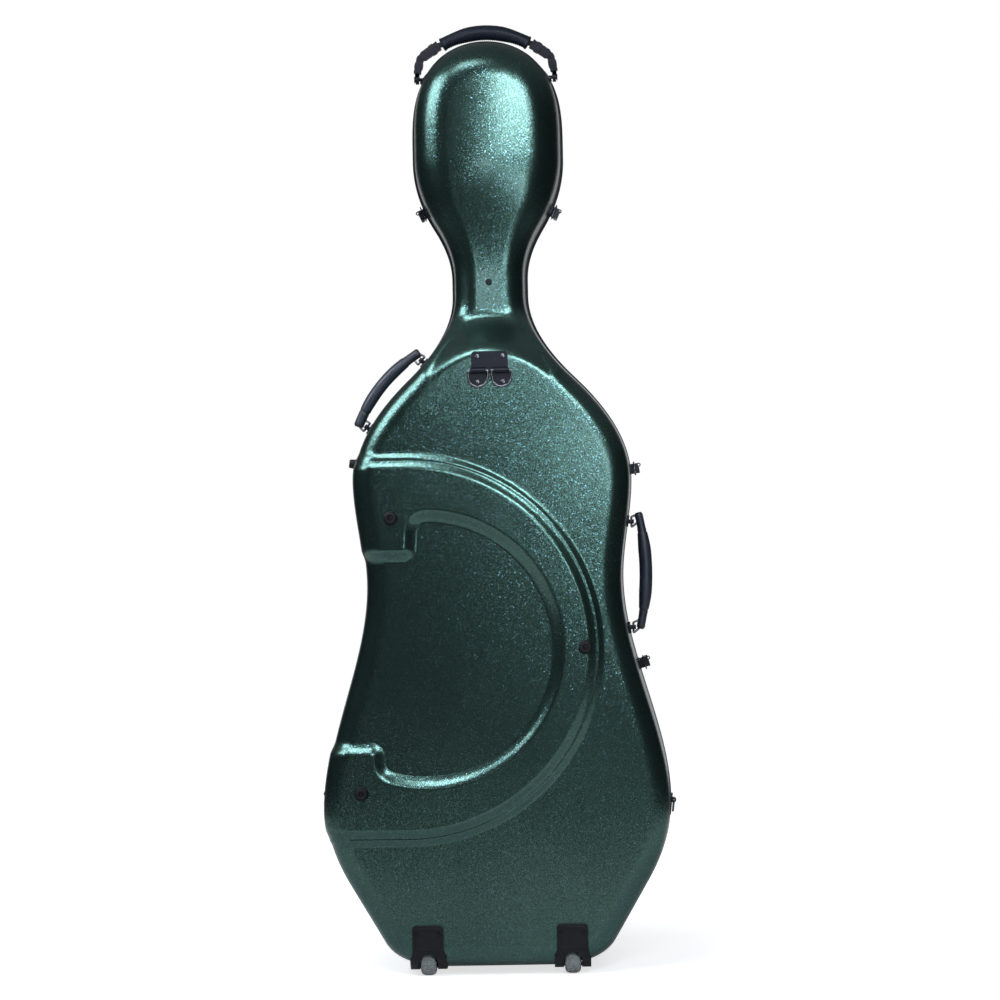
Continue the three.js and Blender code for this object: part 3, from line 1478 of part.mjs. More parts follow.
const acrossStrap = new THREE.Vector3(0, 1, 0);
const squared = Math.SQRT2;
const topPath = topStrapPath();
const gripPath = topPath.slice(4, -4);

function topStrap() {
  const band = sweep(topPath, acrossStrap, () => [strapHalfThickness * squared, strapHalfWidth * squared], 4);
  const z = shellBottom + topAnchorHeight;
  let body = join(band);
  [-1, 1].forEach((side) => {
    const [from, to] = [side * topStrapX - strapHalfThickness, side * topStrapX + strapHalfThickness];
    const eye = alongX(circle(strapEyeRadius, -topHandleDepth, z), from, to);
    const tab = box(
      new THREE.Vector3(from, -topHandleDepth - strapHalfWidth, z),
      new THREE.Vector3(to, -topHandleDepth + strapHalfWidth, z + strapEyeLength),
    );
    const start = new THREE.Vector3(from - overrun, -topHandleDepth, z);
    const end = new THREE.Vector3(to + overrun, -topHandleDepth, z);
    body = body.add(join(eye, tab)).subtract(solid(rodBetween(start, end, topStudRadius + topStudPlay)));
  });
  return body;
}

function topGrip() {
  const outer = sweep(gripPath, acrossStrap, (share) => {
    const radius = gripRadiusAt(share, topGripRadius, topGripEndRadius);
    return [radius, radius];
  }, gripSides);
  const channel = sweep(topPath.slice(3, -3), acrossStrap, () => [
    (strapHalfThickness + fitGap) * squared, (strapHalfWidth + fitGap) * squared,
  ], 4);
  return solid(outer).subtract(solid(channel));
}

function topAnchor(side) {
  const wall = wallFrame(side, topAnchorHeight, topHandleDepth, back.facing);
  const plate = alongY(
    roundedRectangle(topPlateWidth, topPlateHeight, handlePlateCorner),
    -handlePlateThickness - handlePlateGap, -handlePlateGap, 3,
  ).applyMatrix4(towardsWall).applyMatrix4(wall);
  const foot = new THREE.Vector3(handlePlateGap + handlePlateThickness / 2, 0, 0).applyMatrix4(wall);
  const seat = new THREE.Vector3(side * topStrapX, -topHandleDepth, shellBottom + topAnchorHeight);
  const outside = (reach) => seat.clone().setX(side * (topStrapX + strapHalfThickness + reach));
  const start = seat.clone().setX(foot.x);
  const stud = rodBetween(start, outside(fitGap + topStudHeadThickness / 2), topStudRadius);
  const head = rodBetween(outside(fitGap), outside(fitGap + topStudHeadThickness), topStudHead);
  return join(plate, stud, head);
}

mesh('top_grip', shape(topGrip()), 'grip');
mesh('top_strap', shape(topStrap()), 'webbing');
mesh('top_anchor_left', shape(topAnchor(-1)), 'blackMetal');
mesh('top_anchor_right', shape(topAnchor(1)), 'blackMetal');
const topPivot = new THREE.Vector3(0, -topHandleDepth, shellBottom + topAnchorHeight);
joint('top_handle', topPivot, new THREE.Vector3(1, 0, 0), [-topHandleSwing, topHandleSwing]);

// Inside: cradle for the neck and block at the bottom end, shaped to the lining

const paddedSpace = solid(tray({
  ...back, columns: innerColumns, skin: shellWall + fitGap + liningThickness + padGap, rim: 0, edgeSteps: 1,
}));

function neckCradle() {
  const z = shellBottom + cradleBottom;
  const floor = shellWall + fitGap + liningThickness + padGap - backNeckDepth;
  const top = floor + cradleRise;
  const half = neckWidth / 2;
  const block = solid(box(
    new THREE.Vector3(-half, floor - overrun, z), new THREE.Vector3(half, top, z + cradleLength),
  ));
  const notch = rodBetween(
    new THREE.Vector3(0, top + cradleNotchLift, z - overrun),
    new THREE.Vector3(0, top + cradleNotchLift, z + cradleLength + overrun),
    cradleNotchRadius, 2 * smallSides,
  );
  const screwZ = shellBottom + neckScrewHeight;
  const bore = rodBetween(
    new THREE.Vector3(0, floor - overrun, screwZ),
    new THREE.Vector3(0, neckScrewLength + neckScrewPlay - backNeckDepth, screwZ),
    neckScrewRadius + neckScrewPlay,
  );
  return block.intersect(paddedSpace).subtract(solid(notch)).subtract(solid(bore));
}

function neckScrew() {
  const profile = [
    new THREE.Vector2(0, -neckScrewLength),
    new THREE.Vector2(neckScrewRadius, -neckScrewLength),
    new THREE.Vector2(neckScrewRadius, fitGap),
    new THREE.Vector2(neckScrewHead, fitGap),
    new THREE.Vector2(neckScrewHead - neckScrewHeadThickness / 2, fitGap + neckScrewHeadThickness),
    new THREE.Vector2(neckScrewRadius, fitGap + neckScrewHeadThickness),
    new THREE.Vector2(neckScrewRadius, fitGap + neckScrewHeadThickness / 2),
    new THREE.Vector2(0, fitGap + neckScrewHeadThickness / 2),
  ];
  return new THREE.LatheGeometry(profile, smallSides);
}

function endBlock() {
  const half = wheelX - endBlockSideGap;
  const top = shellBottom + endBlockHeight;
  const block = solid(box(
    new THREE.Vector3(-half, -backDepth - overrun, 0), new THREE.Vector3(half, -endBlockStart, top),
  ));
  const socket = rodBetween(
    new THREE.Vector3(0, -endSocketReach, top - endSocketDepth),
    new THREE.Vector3(0, -endSocketReach, top + overrun),
    endSocketRadius, roundSides,
  );
  return block.intersect(paddedSpace).subtract(solid(socket));
}

mesh('neck_cradle', shape(neckCradle()), 'foam');
const screw = mesh('neck_screw', neckScrew(), 'greyMetal');
screw.position.set(0, -backNeckDepth, shellBottom + neckScrewHeight);
screw.rotation.x = Math.PI;
mesh('end_block', shape(endBlock()), 'foam');

caseGroup.position.y = seamShift;
const celloCase = new THREE.Group();
celloCase.add(caseGroup);
celloCase.userData.joints = joints;

export default celloCase;
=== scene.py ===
import json
import math

import bmesh
import bpy
import numpy as np
from mathutils import Matrix, Vector


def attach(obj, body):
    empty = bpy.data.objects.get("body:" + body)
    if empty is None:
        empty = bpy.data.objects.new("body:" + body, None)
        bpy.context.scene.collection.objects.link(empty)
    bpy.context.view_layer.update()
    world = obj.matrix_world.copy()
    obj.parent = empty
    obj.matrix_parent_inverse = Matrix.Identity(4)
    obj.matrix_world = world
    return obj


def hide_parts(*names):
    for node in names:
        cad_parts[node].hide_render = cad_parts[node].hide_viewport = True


bl_info = {
    "name": "Cello hard case",
    "version": (1, 0, 0),
    "blender": (4, 5, 0),
    "location": "View3D > Sidebar > Cello case",
    "description": "Dresses the shells, linings, handles and fittings of a hard case for a cello",
    "category": "Object",
}

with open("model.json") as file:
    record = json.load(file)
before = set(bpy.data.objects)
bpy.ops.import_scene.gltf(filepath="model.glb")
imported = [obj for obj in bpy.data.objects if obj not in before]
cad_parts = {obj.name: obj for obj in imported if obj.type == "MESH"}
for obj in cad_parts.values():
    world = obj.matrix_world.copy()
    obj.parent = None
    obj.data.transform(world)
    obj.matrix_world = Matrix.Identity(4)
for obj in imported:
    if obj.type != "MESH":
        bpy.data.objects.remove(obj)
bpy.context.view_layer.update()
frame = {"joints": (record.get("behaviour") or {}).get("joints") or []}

MM = 0.001
MERGE_DISTANCE = 1e-4

# The outline and the depths below are those of the case's own solids, in millimetres.
# Heights are above the foot of the shells, and depths are from the seam between them.
SHELL_FOOT = 6.5
SEAM_Y = 7.5
SHELL_HEIGHT = 1288.5
BOTTOM_HALF = 69.5
CORNER_HEIGHT = 36.0
TAPER = 0.59
# Height, half width and slope of the side
STATIONS = (
    (114.5, 209.0, TAPER),
    (220.5, 242.0, 0.0),
    (532.5, 180.0, 0.0),
    (674.5, 194.0, 0.0),
    (815.5, 117.0, -1.054),
    (932.5, 50.5, 0.0),
    (957.5, 50.5, 0.0),
    (1028.5, 74.0, 0.62),
    (1124.5, 103.5, 0.0),
    (1141.5, 103.5, 0.0),
)
SOLID_STEPS = (3, 4, 3, 4, 7, 1, 2, 2, 1)
SOLID_COLUMNS = 6
HEAD_HALF = 103.5
HEAD_BASE = 1141.5
HEAD_POWER = 2 / 3
HEAD_CORNER = math.radians(48)
WALL = 3.0
DRAFT = 0.04
EDGE_RADIUS = 30.0
HEAD_EDGE = 52.0
FIT_GAP = 0.4
LINING_THICKNESS = 6.0
LOWER_WIDTH = 484.0
HEAD_WIDTH = 207.0
NECK_TOP = 957.5
HEAD_FULL = 1124.5

# The arch between neck and back: a parabola that runs on straight past its reach
ARCH_CREST = 884.0
ARCH_EASE = 24.0
ARCH_RUN = 40.0
ARCH_CURVE = 0.0042
ARCH_REACH = 117.0
ARCH_HEIGHTS = (845.0, 873.0)
TIGHT_EDGE, TIGHT_HEIGHT, TIGHT_SPREAD = 16.0, 860.0, 26.0

# The arch between neck and lid: half an ellipse
ARCH_TOP = 877.5
ARCH_CENTRE = 702.5
ARCH_HALF = 235.0
LID_ARCH_RUN = 70.0

# Depths from the seam, how far they crown towards the middle, and the lid's bulge over the bridge
BACK_NECK, BACK_HEAD, BACK_BODY = 98.0, 103.0, 144.0
BACK_CROWN, HEAD_DOME = 8.0, 13.0
HEAD_FALL, HEAD_FALL_RUN = 3.0, 150.0
LID_NECK, LID_HEAD, LID_BODY = 84.0, 92.0, 118.0
LID_CROWN, LID_BULGE = 10.0, 21.5
BULGE_HEIGHT, BULGE_HALF_WIDTH, BULGE_HALF_HEIGHT = 420.0, 110.0, 170.0

# The raised band on the back
BAND_HEIGHT = 8.2
BAND_LIP = 1.4
BAND_STEP = 4.1
GROOVE_DEPTH, GROOVE_PLACE, GROOVE_WIDTH = 0.6, 8.8, 1.5
BAND_DRAFT = 0.015
BAND_CENTRE = (-120.0, 443.5)
BAND_RADIUS = 268.0
POCKET_X = -95.0
POCKET_RADIUS = 176.0
TABS = ((-107.0, 564.5), (-155.0, 314.5))
TAB_CORNER = 18.0
BAND_REACH = 18.0

HEAD_CAP = 96.0

# How finely the shells are divided
ROW_STEP = 7.0
FINE_STEP = 4.2
COLUMNS = 60
WALL_RINGS = 5
EDGE_RINGS = 8
BAND_CUTS = 3
BAND_MIDDLE, BAND_NEAR = 9, 14
TRAY_MARKS = ("lap", "ring", "row", "column")

# Where the fittings sit
HANDLE_DEPTH = 60.0
WHEEL_X = 99.045
WHEEL_Z = 20.0
WELL_RADIUS, WELL_HALF = 22.0, 15.8
HINGES = {"upper": 688.0, "lower": 236.0}
HINGE_RADIUS, HINGE_HALF = 3.5, 18.0
NECK_SCREW_Z = SHELL_FOOT + 947.5
RIGHT, LEFT = 1, -1
SIDES = {"left": LEFT, "right": RIGHT}
LATCHES = {"right_head": 1054.5, "left_head": 1055.5, "right_shoulder": 685.5, "right_waist": 410.5}
JOINTS = {joint["name"]: joint for joint in frame["joints"]}
WHEEL_Y = JOINTS["wheel_right_axle"]["pos_m"][1] / MM - SEAM_Y


def smooth(value, low, high):
    share = np.clip((value - low) / (high - low), 0, 1)
    return share * share * (3 - 2 * share)


def blend(low, high, share):
    return low + (high - low) * share


# Outline

def hermite(start, end, share):
    """Points of a cubic between two stations, with their slopes."""
    run = end[0] - start[0]
    t2, t3 = share**2, share**3
    half = (
        (2 * t3 - 3 * t2 + 1) * start[1]
        + (t3 - 2 * t2 + share) * run * start[2]
        + (3 * t2 - 2 * t3) * end[1]
        + (t3 - t2) * run * end[2]
    )
    return np.column_stack([half, start[0] + share * run])


def head_point(angle):
    """Points of the head's top, as (x, height)."""
    rise = (SHELL_HEIGHT - HEAD_BASE) * np.sin(angle) ** HEAD_POWER
    return np.column_stack([HEAD_HALF * np.cos(angle), HEAD_BASE + rise])


def right_side(corner, taper, steps, head):
    """Right half of the outline as (x, height) points, from the bottom to the head's corner."""
    share = np.linspace(0, 1, corner + 1)[:, None]
    first = np.array([BOTTOM_HALF, 0.0])
    knee = np.array([STATIONS[0][1] - TAPER * STATIONS[0][0], 0.0])
    last = np.array([STATIONS[0][1] - TAPER * (STATIONS[0][0] - CORNER_HEIGHT), CORNER_HEIGHT])
    parts = [(1 - share) ** 2 * first + 2 * share * (1 - share) * knee + share**2 * last]
    along = np.arange(1, taper)[:, None] / taper
    parts.append(last + along * (np.array([STATIONS[0][1], STATIONS[0][0]]) - last))
    for count, start, end in zip(steps, STATIONS, STATIONS[1:]):
        parts.append(hermite(start, end, np.arange(count) / count))
    parts.append(head_point(HEAD_CORNER * head))
    return np.vstack(parts)


def solid_side():
    """The side as the case's solids have it, with few corners."""
    return right_side(4, 1, SOLID_STEPS, np.linspace(0, 1, 4))


def side_points(step, fine=None, fine_heights=()):
    """The right half resampled: steps of one length, shorter near some heights."""
    dense = right_side(400, 400, [400] * len(SOLID_STEPS), np.linspace(0, 1, 400) ** 1.5)
    length = np.full(len(dense), float(step))
    if len(fine_heights):
        near = np.min(np.abs(dense[:, 1:] - np.array(fine_heights)[None, :]), axis=1)
        length = blend(fine, step, smooth(near, BAND_REACH, 2 * BAND_REACH))
    pieces = np.hypot(*np.diff(dense, axis=0).T) / (0.5 * (length[1:] + length[:-1]))
    run = np.r_[0, np.cumsum(pieces)]
    wanted = np.linspace(0, run[-1], int(round(run[-1])) + 1)
    return np.column_stack([np.interp(wanted, run, dense[:, k]) for k in (0, 1)])


def seam_outline(side, columns):
    """Anticlockwise as seen from behind: bottom, right side, top, left side."""
    share = np.arange(columns) / columns
    bottom = np.column_stack([2 * BOTTOM_HALF * (share - 0.5), np.zeros(columns)])
    top = head_point(blend(HEAD_CORNER, math.pi - HEAD_CORNER, share))
    left = side[:0:-1] * (-1, 1)
    return np.vstack([bottom, side[:-1], top, left])


def inset(points, distance):
    """Every edge of an anticlockwise outline moved inwards."""
    before = points - np.roll(points, 1, axis=0)
    after = np.roll(points, -1, axis=0) - points
    before /= np.hypot(*before.T)[:, None]
    after /= np.hypot(*after.T)[:, None]
    inward = np.column_stack([-(before + after)[:, 1], (before + after)[:, 0]])
    inward /= np.hypot(*inward.T)[:, None]
    stretch = inward[:, 0] * -before[:, 1] + inward[:, 1] * before[:, 0]
    return points + inward * (distance / stretch)[:, None]


# Depths

def body_share(x, height):
    """How far a point lies past the arch where the neck meets the lid."""
    rise = np.maximum(0, height - ARCH_CENTRE) / (ARCH_TOP - ARCH_CENTRE)
    inside = (ARCH_TOP - ARCH_CENTRE) * (1 - np.hypot(x / ARCH_HALF, rise))
    return smooth(inside + np.maximum(0, ARCH_CENTRE - height), 0, LID_ARCH_RUN)


def arch_share(x, height):
    """How far a point lies past the arch where the neck meets the back."""
    reach = np.minimum(np.abs(x), ARCH_REACH)
    slope = 2 * ARCH_CURVE * reach
    drop = ARCH_CURVE * reach**2 + slope * (np.abs(x) - reach)
    inside = (ARCH_CREST - drop - height) / np.sqrt(1 + slope**2)
    return smooth(inside, -ARCH_EASE, ARCH_RUN)


def crown(x, width):
    return 1 - (2 * x / width) ** 2


def back_depth(x, height):
    head = smooth(height, NECK_TOP, HEAD_FULL)
    dome = HEAD_DOME * crown(x, HEAD_WIDTH) - HEAD_FALL * ((height - HEAD_FULL) / HEAD_FALL_RUN) ** 2
    neck = blend(BACK_NECK, BACK_HEAD, head) + head * dome
    return blend(neck, BACK_BODY + BACK_CROWN * crown(x, LOWER_WIDTH), arch_share(x, height))


def lid_depth(x, height):
    neck = blend(LID_NECK, LID_HEAD, smooth(height, NECK_TOP, HEAD_FULL))
    away = np.hypot(x / BULGE_HALF_WIDTH, (height - BULGE_HEIGHT) / BULGE_HALF_HEIGHT)
    body = LID_BODY + LID_CROWN * crown(x, LOWER_WIDTH) + LID_BULGE * np.exp(-(away**2))
    return blend(neck, body, body_share(x, height))


def steepness(depth_at, x, height):
    """How much longer than deep a skin has to be measured where a depth changes along the back."""
    step = 2.0
    across = (depth_at(x + step, height) - depth_at(x - step, height)) / (2 * step)
    along = (depth_at(x, height + step) - depth_at(x, height - step)) / (2 * step)
    return np.sqrt(1 + across**2 + along**2)


# The band's edge line, and how far inside it a point lies

def arc(centre, radius, start, end, count):
    angle = np.radians(np.linspace(start, end, count))
    return np.column_stack([centre[0] + radius * np.cos(angle), centre[1] + radius * np.sin(angle)])


def bezier(start, first, second, end, count):
    share = np.linspace(0, 1, count)[:, None]
    left = 1 - share
    points = left**3 * start + 3 * left**2 * share * first + 3 * left * share**2 * second + share**3 * end
    return points[1:-1]


def band_line():
    """The band's edge as (x, height) points: first the pocket's side, then the outer side."""
    (up_x, up_z), (low_x, low_z) = TABS
    far = -LOWER_WIDTH
    centre = (POCKET_X, BAND_CENTRE[1])
    ease = TAB_CORNER + 4.0
    upper = 180 - math.degrees(math.acos((POCKET_X - up_x - ease) / POCKET_RADIUS))
    lower = math.degrees(math.acos((POCKET_X - low_x - ease) / POCKET_RADIUS)) - 180
    corners = [
        arc((up_x - TAB_CORNER, up_z + TAB_CORNER), TAB_CORNER, -90, 0, 12),
        arc(centre, POCKET_RADIUS, upper, lower, 120),
        arc((low_x - TAB_CORNER, low_z - TAB_CORNER), TAB_CORNER, 0, 90, 12),
    ]
    joins = []
    for before, after in zip(corners, corners[1:]):
        away, towards = before[-1] - before[-2], after[0] - after[1]
        reach = 0.55 * np.linalg.norm(after[0] - before[-1])
        first = before[-1] + away * reach / np.linalg.norm(away)
        second = after[0] + towards * reach / np.linalg.norm(towards)
        joins.append(bezier(before[-1], first, second, after[0], 12))
    pocket = np.vstack([
        [(far, up_z)], corners[0], joins[0], corners[1], joins[1], corners[2], [(far, low_z)],
    ])
    outside = np.vstack([
        [(far, BAND_CENTRE[1] - BAND_RADIUS)], arc(BAND_CENTRE, BAND_RADIUS, -90, 90, 140),
        [(far, BAND_CENTRE[1] + BAND_RADIUS)],
    ])
    return np.vstack([pocket, outside]), len(pocket)


def inside_band(x, height):
    """Distance inside the band's edge, negative outside, and whether the pocket's side is nearer."""
    line, pocket_count = band_line()
    nearest = np.full((2, *x.shape), 1e9)
    crossings = np.zeros(x.shape, int)
    for k, ((sx, sz), (dx, dz)) in enumerate(zip(line, np.roll(line, -1, axis=0) - line)):
        share = np.clip(((x - sx) * dx + (height - sz) * dz) / (dx * dx + dz * dz), 0, 1)
        part = 0 if k < pocket_count else 1
        nearest[part] = np.minimum(nearest[part], np.hypot(x - sx - share * dx, height - sz - share * dz))
        if dz:
            spans = (sz > height) != (sz + dz > height)
            crossings += spans & (x < sx + dx * (height - sz) / dz)
    result = nearest.min(axis=0)
    return np.where(crossings % 2 == 1, result, -result), nearest[0] < nearest[1]


def band_rise(inside, pocket):
    """The band's edge: one rolled slope to the pocket, and outside two slopes with a groove between."""
    rolled = BAND_LIP * smooth(inside, -2.5, 3.5) + (BAND_HEIGHT - BAND_LIP) * smooth(inside, 0.5, 16.0)
    groove = -GROOVE_DEPTH * np.exp(-(((inside - GROOVE_PLACE) / GROOVE_WIDTH) ** 2))
    lower = BAND_STEP * smooth(inside, -3.0, 8.6) + groove
    return np.where(pocket, rolled, lower + (BAND_HEIGHT - BAND_STEP) * smooth(inside, 9.4, 21.0))


def edge_radius(height):
    """The rounding between wall and back or front, wider round the head and tighter beside the arch."""
    beside = TIGHT_EDGE * np.exp(-(((height - TIGHT_HEIGHT) / TIGHT_SPREAD) ** 2))
    return blend(EDGE_RADIUS, HEAD_EDGE, smooth(height, NECK_TOP + 10.0, HEAD_FULL - 20.0)) - beside


# Frames on the walls, in millimetres: X out of the wall, Z up along it

def basis(x, y, z, origin):
    turn = Matrix((x, y, z)).transposed().to_4x4()
    turn.translation = origin
    return turn


def wall_frame(side, height, depth, facing):
    """A frame on the wall, at a depth towards the lid where facing is 1, or towards the back at -1."""
    corners = solid_side()
    rows = len(corners) - 1
    ring = inset(seam_outline(corners, SOLID_COLUMNS), DRAFT * depth)
    ring = ring[SOLID_COLUMNS:SOLID_COLUMNS + rows + 1]
    k = next(i for i in range(rows) if ring[i, 1] <= height < ring[i + 1, 1])
    run = ring[k + 1] - ring[k]
    point = ring[k] + run * (height - ring[k, 1]) / run[1]
    along = run / np.hypot(*run)
    up = Vector((side * along[0], 0, along[1]))
    lean = math.atan(DRAFT)
    out = Vector((side * along[1], 0, -along[0])) * math.cos(lean) + Vector((0, facing * math.sin(lean), 0))
    origin = Vector((side * point[0], facing * depth + SEAM_Y, SHELL_FOOT + height))
    return basis(out, up.cross(out).normalized(), up, origin)


def latch_frame(side, height, facing):
    """The same at the seam, with Y towards the lid on both sides."""
    place = wall_frame(side, height, 0, facing)
    return place if side == RIGHT else place @ Matrix.Rotation(math.pi, 4, "X")


TOWARDS_WALL = basis(Vector((0, 1, 0)), Vector((-1, 0, 0)), Vector((0, 0, 1)), Vector())


def at(x, y, z):
    """A frame that only moves, with depths counted from the seam and heights from the floor."""
    return Matrix.Translation((x, y + SEAM_Y, z))


def moved(x, y, z):
    return Matrix.Translation((x, y, z))


def back_seat(x, height):
    """The point of the back's surface, without the band, at a place and height."""
    depth = float(back_depth(np.array(float(x)), np.array(float(height))))
    return x, -depth, SHELL_FOOT + height


# Helpers for objects

def deselect():
    if bpy.context.mode != "OBJECT":
        bpy.ops.object.mode_set(mode="OBJECT")
    bpy.ops.object.select_all(action="DESELECT")


def only(piece):
    deselect()
    piece.select_set(True)
    bpy.context.view_layer.objects.active = piece
    return piece


def named(name):
    piece = bpy.context.object
    piece.name = piece.data.name = name
    return piece


def coordinates(mesh):
    place = np.zeros(len(mesh.vertices) * 3)
    mesh.vertices.foreach_get("co", place)
    return place.reshape(-1, 3)


def set_coordinates(mesh, place):
    mesh.vertices.foreach_set("co", np.asarray(place, float).ravel())
    mesh.update()


def apply_modifier(piece, kind, **settings):
    only(piece)
    modifier = piece.modifiers.new(kind.title(), kind)
    for key, value in settings.items():
        setattr(modifier, key, value)
    bpy.ops.object.modifier_apply(modifier=modifier.name)
    return piece


def tidy_mesh(piece):
    """Merges doubles and turns all faces outwards."""
    only(piece)
    bpy.ops.object.mode_set(mode="EDIT")
    bpy.ops.mesh.select_all(action="SELECT")
    bpy.ops.mesh.remove_doubles(threshold=MERGE_DISTANCE)
    bpy.ops.mesh.normals_make_consistent(inside=False)
    bpy.ops.object.mode_set(mode="OBJECT")
    return piece


def joined_by(operation, piece, others):
    for other in others:
        apply_modifier(piece, "BOOLEAN", operation=operation, object=other, solver="MANIFOLD")
        bpy.data.objects.remove(other)
    return piece


def unite(piece, *others):
    return joined_by("UNION", piece, others)


def cut(piece, *others):
    return joined_by("DIFFERENCE", piece, others)


def overlap(piece, *others):
    return joined_by("INTERSECT", piece, others)


def round_edges(piece, width, segments=2, angle=32):
    return apply_modifier(
        piece, "BEVEL", width=width, segments=segments, limit_method="ANGLE",
        angle_limit=math.radians(angle),
    )


def twin(piece, name="part"):
    copy = piece.copy()
    copy.data = piece.data.copy()
    copy.name = copy.data.name = name
    bpy.context.collection.objects.link(copy)
    return copy


def turn(piece, matrix):
    piece.data.transform(matrix)
    piece.data.update()
    return piece


def from_seam(piece):
    """Moves a piece whose depths count from the seam."""
    return turn(piece, at(0, 0, 0))


def block(low, high):
    deselect()
    bpy.ops.mesh.primitive_cube_add(size=1)
    low, high = np.array(low, float), np.array(high, float)
    piece = named("part")
    set_coordinates(piece.data, (coordinates(piece.data) + 0.5) * (high - low) + low)
    return piece


def rod(start, end, radius, sides=24):
    start, end = Vector(start), Vector(end)
    deselect()
    bpy.ops.mesh.primitive_cylinder_add(vertices=sides, radius=radius, depth=(end - start).length)
    piece = named("part")
    lean = Vector((0, 0, 1)).rotation_difference((end - start).normalized()).to_matrix().to_4x4()
    return turn(piece, Matrix.Translation((start + end) / 2) @ lean)


def mark_ring(piece, k):
    """Marks the points that an extrusion has left selected."""
    grid = bmesh.from_edit_mesh(piece.data)
    ring_of = grid.verts.layers.int["ring"]
    for vertex in grid.verts:
        if vertex.select:
            vertex[ring_of] = k


def loft(rings, closed=False):
    """A circle extruded ring after ring through the given places, with both ends filled or joined."""
    rings = np.asarray(rings, float)
    deselect()
    bpy.ops.mesh.primitive_circle_add(vertices=rings.shape[1], fill_type="NOTHING" if closed else "NGON")
    piece = named("part")
    bpy.ops.object.mode_set(mode="EDIT")
    grid = bmesh.from_edit_mesh(piece.data)
    for key in ("spot", "ring"):
        grid.verts.layers.int.new(key)
    spot_of = grid.verts.layers.int["spot"]
    for spot, vertex in enumerate(grid.verts):
        vertex[spot_of] = spot
    bpy.ops.mesh.select_all(action="SELECT")
    total = len(rings) + 1 if closed else len(rings)
    for k in range(1, total):
        if closed:
            bpy.ops.mesh.extrude_edges_move()
        else:
            bpy.ops.mesh.extrude_region_move()
        mark_ring(piece, k)
    bpy.ops.object.mode_set(mode="OBJECT")
    ring, spot = (read_layer(piece.data, key) for key in ("ring", "spot"))
    set_coordinates(piece.data, rings[ring % len(rings), spot])
    for key in ("ring", "spot"):
        piece.data.attributes.remove(piece.data.attributes[key])
    return tidy_mesh(piece)


def read_layer(mesh, key):
    values = np.zeros(len(mesh.vertices), np.int32)
    mesh.attributes[key].data.foreach_get("value", values)
    return values


def slab(outline, low, high):
    """An outline of (x, z) points given a thickness along Y."""
    outline = np.asarray(outline, float)
    return loft([
        np.column_stack([outline[:, 0], np.full(len(outline), y), outline[:, 1]]) for y in (low, high)
    ])


def turned(profile, sides=40, closed=False):
    """A profile of (radius, height) points turned round Z."""
    angle = 2 * math.pi * np.arange(sides) / sides
    rings = [np.column_stack([r * np.cos(angle), r * np.sin(angle), np.full(sides, h)]) for r, h in profile]
    return loft(rings, closed)


def rounded(width, height, radius, centre=(0.0, 0.0), steps=6):
    across, up = width / 2 - radius, height / 2 - radius
    corners = ((across, -up, -90), (across, up, 0), (-across, up, 90), (-across, -up, 180))
    return np.vstack([
        arc((centre[0] + x, centre[1] + z), radius, start, start + 90, steps + 1) for x, z, start in corners
    ])


def spline(points, per=8):
    """A smooth path through the points."""
    points = np.asarray(points, float)
    longer = np.vstack([2 * points[0] - points[1], points, 2 * points[-1] - points[-2]])
    share = (np.arange(per) / per)[:, None]
    parts = []
    for a, b, c, d in zip(longer, longer[1:], longer[2:], longer[3:]):
        square, cube = 2 * a - 5 * b + 4 * c - d, 3 * b - a - 3 * c + d
        parts.append(0.5 * (2 * b + (c - a) * share + square * share**2 + cube * share**3))
    return np.vstack([*parts, points[-1:]])


def path_rings(path, normal, sections):
    """Sections of (flat, wide) points square to a path in a plane; wide lies along the plane's normal."""
    path, normal = np.asarray(path, float), np.asarray(normal, float)
    run = np.gradient(path, axis=0)
    run /= np.linalg.norm(run, axis=1)[:, None]
    across = np.cross(normal, run)
    return np.array([
        point + section[:, :1] * side + section[:, 1:] * normal
        for point, side, section in zip(path, across, sections)
    ])


def half_steps(sides):
    """Angles round a circle, the first half a step past zero."""
    return 2 * math.pi * (np.arange(sides) + 0.5) / sides


def round_section(radius, sides):
    angle = half_steps(sides)
    return np.column_stack([radius * np.cos(angle), radius * np.sin(angle)])


def wire(points, radius, sides, per):
    path = spline(points, per)
    return loft(path_rings(path, (0, 1, 0), [round_section(radius, sides)] * len(path)))


def run_of(path):
    return np.r_[0, np.cumsum(np.linalg.norm(np.diff(path, axis=0), axis=1))]


def note_run(piece, path):
    """Keeps how far along a path each point of a piece lies, for a pattern that follows it."""
    place, length = coordinates(piece.data), run_of(path)
    nearest = np.argmin(((place[:, None, :] - np.asarray(path)[None, :, :]) ** 2).sum(axis=2), axis=1)
    layer = piece.data.attributes.new("run", "FLOAT", "POINT")
    layer.data.foreach_set("value", length[nearest].astype(np.float32))
    return piece


def settle(piece, name, finish, body, node=None, place=None, smoothing=35):
    """Turns a piece modelled in millimetres into the finished one, in metres and in its place."""
    turn(piece, Matrix.Scale(MM, 4) @ (place or Matrix.Identity(4)))
    piece.name = piece.data.name = name
    piece.data.materials.clear()
    piece.data.materials.append(finish)
    only(piece)
    bpy.ops.object.shade_smooth_by_angle(angle=math.radians(smoothing))
    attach(piece, body)
    if node:
        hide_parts(node)
    return piece


# Settings

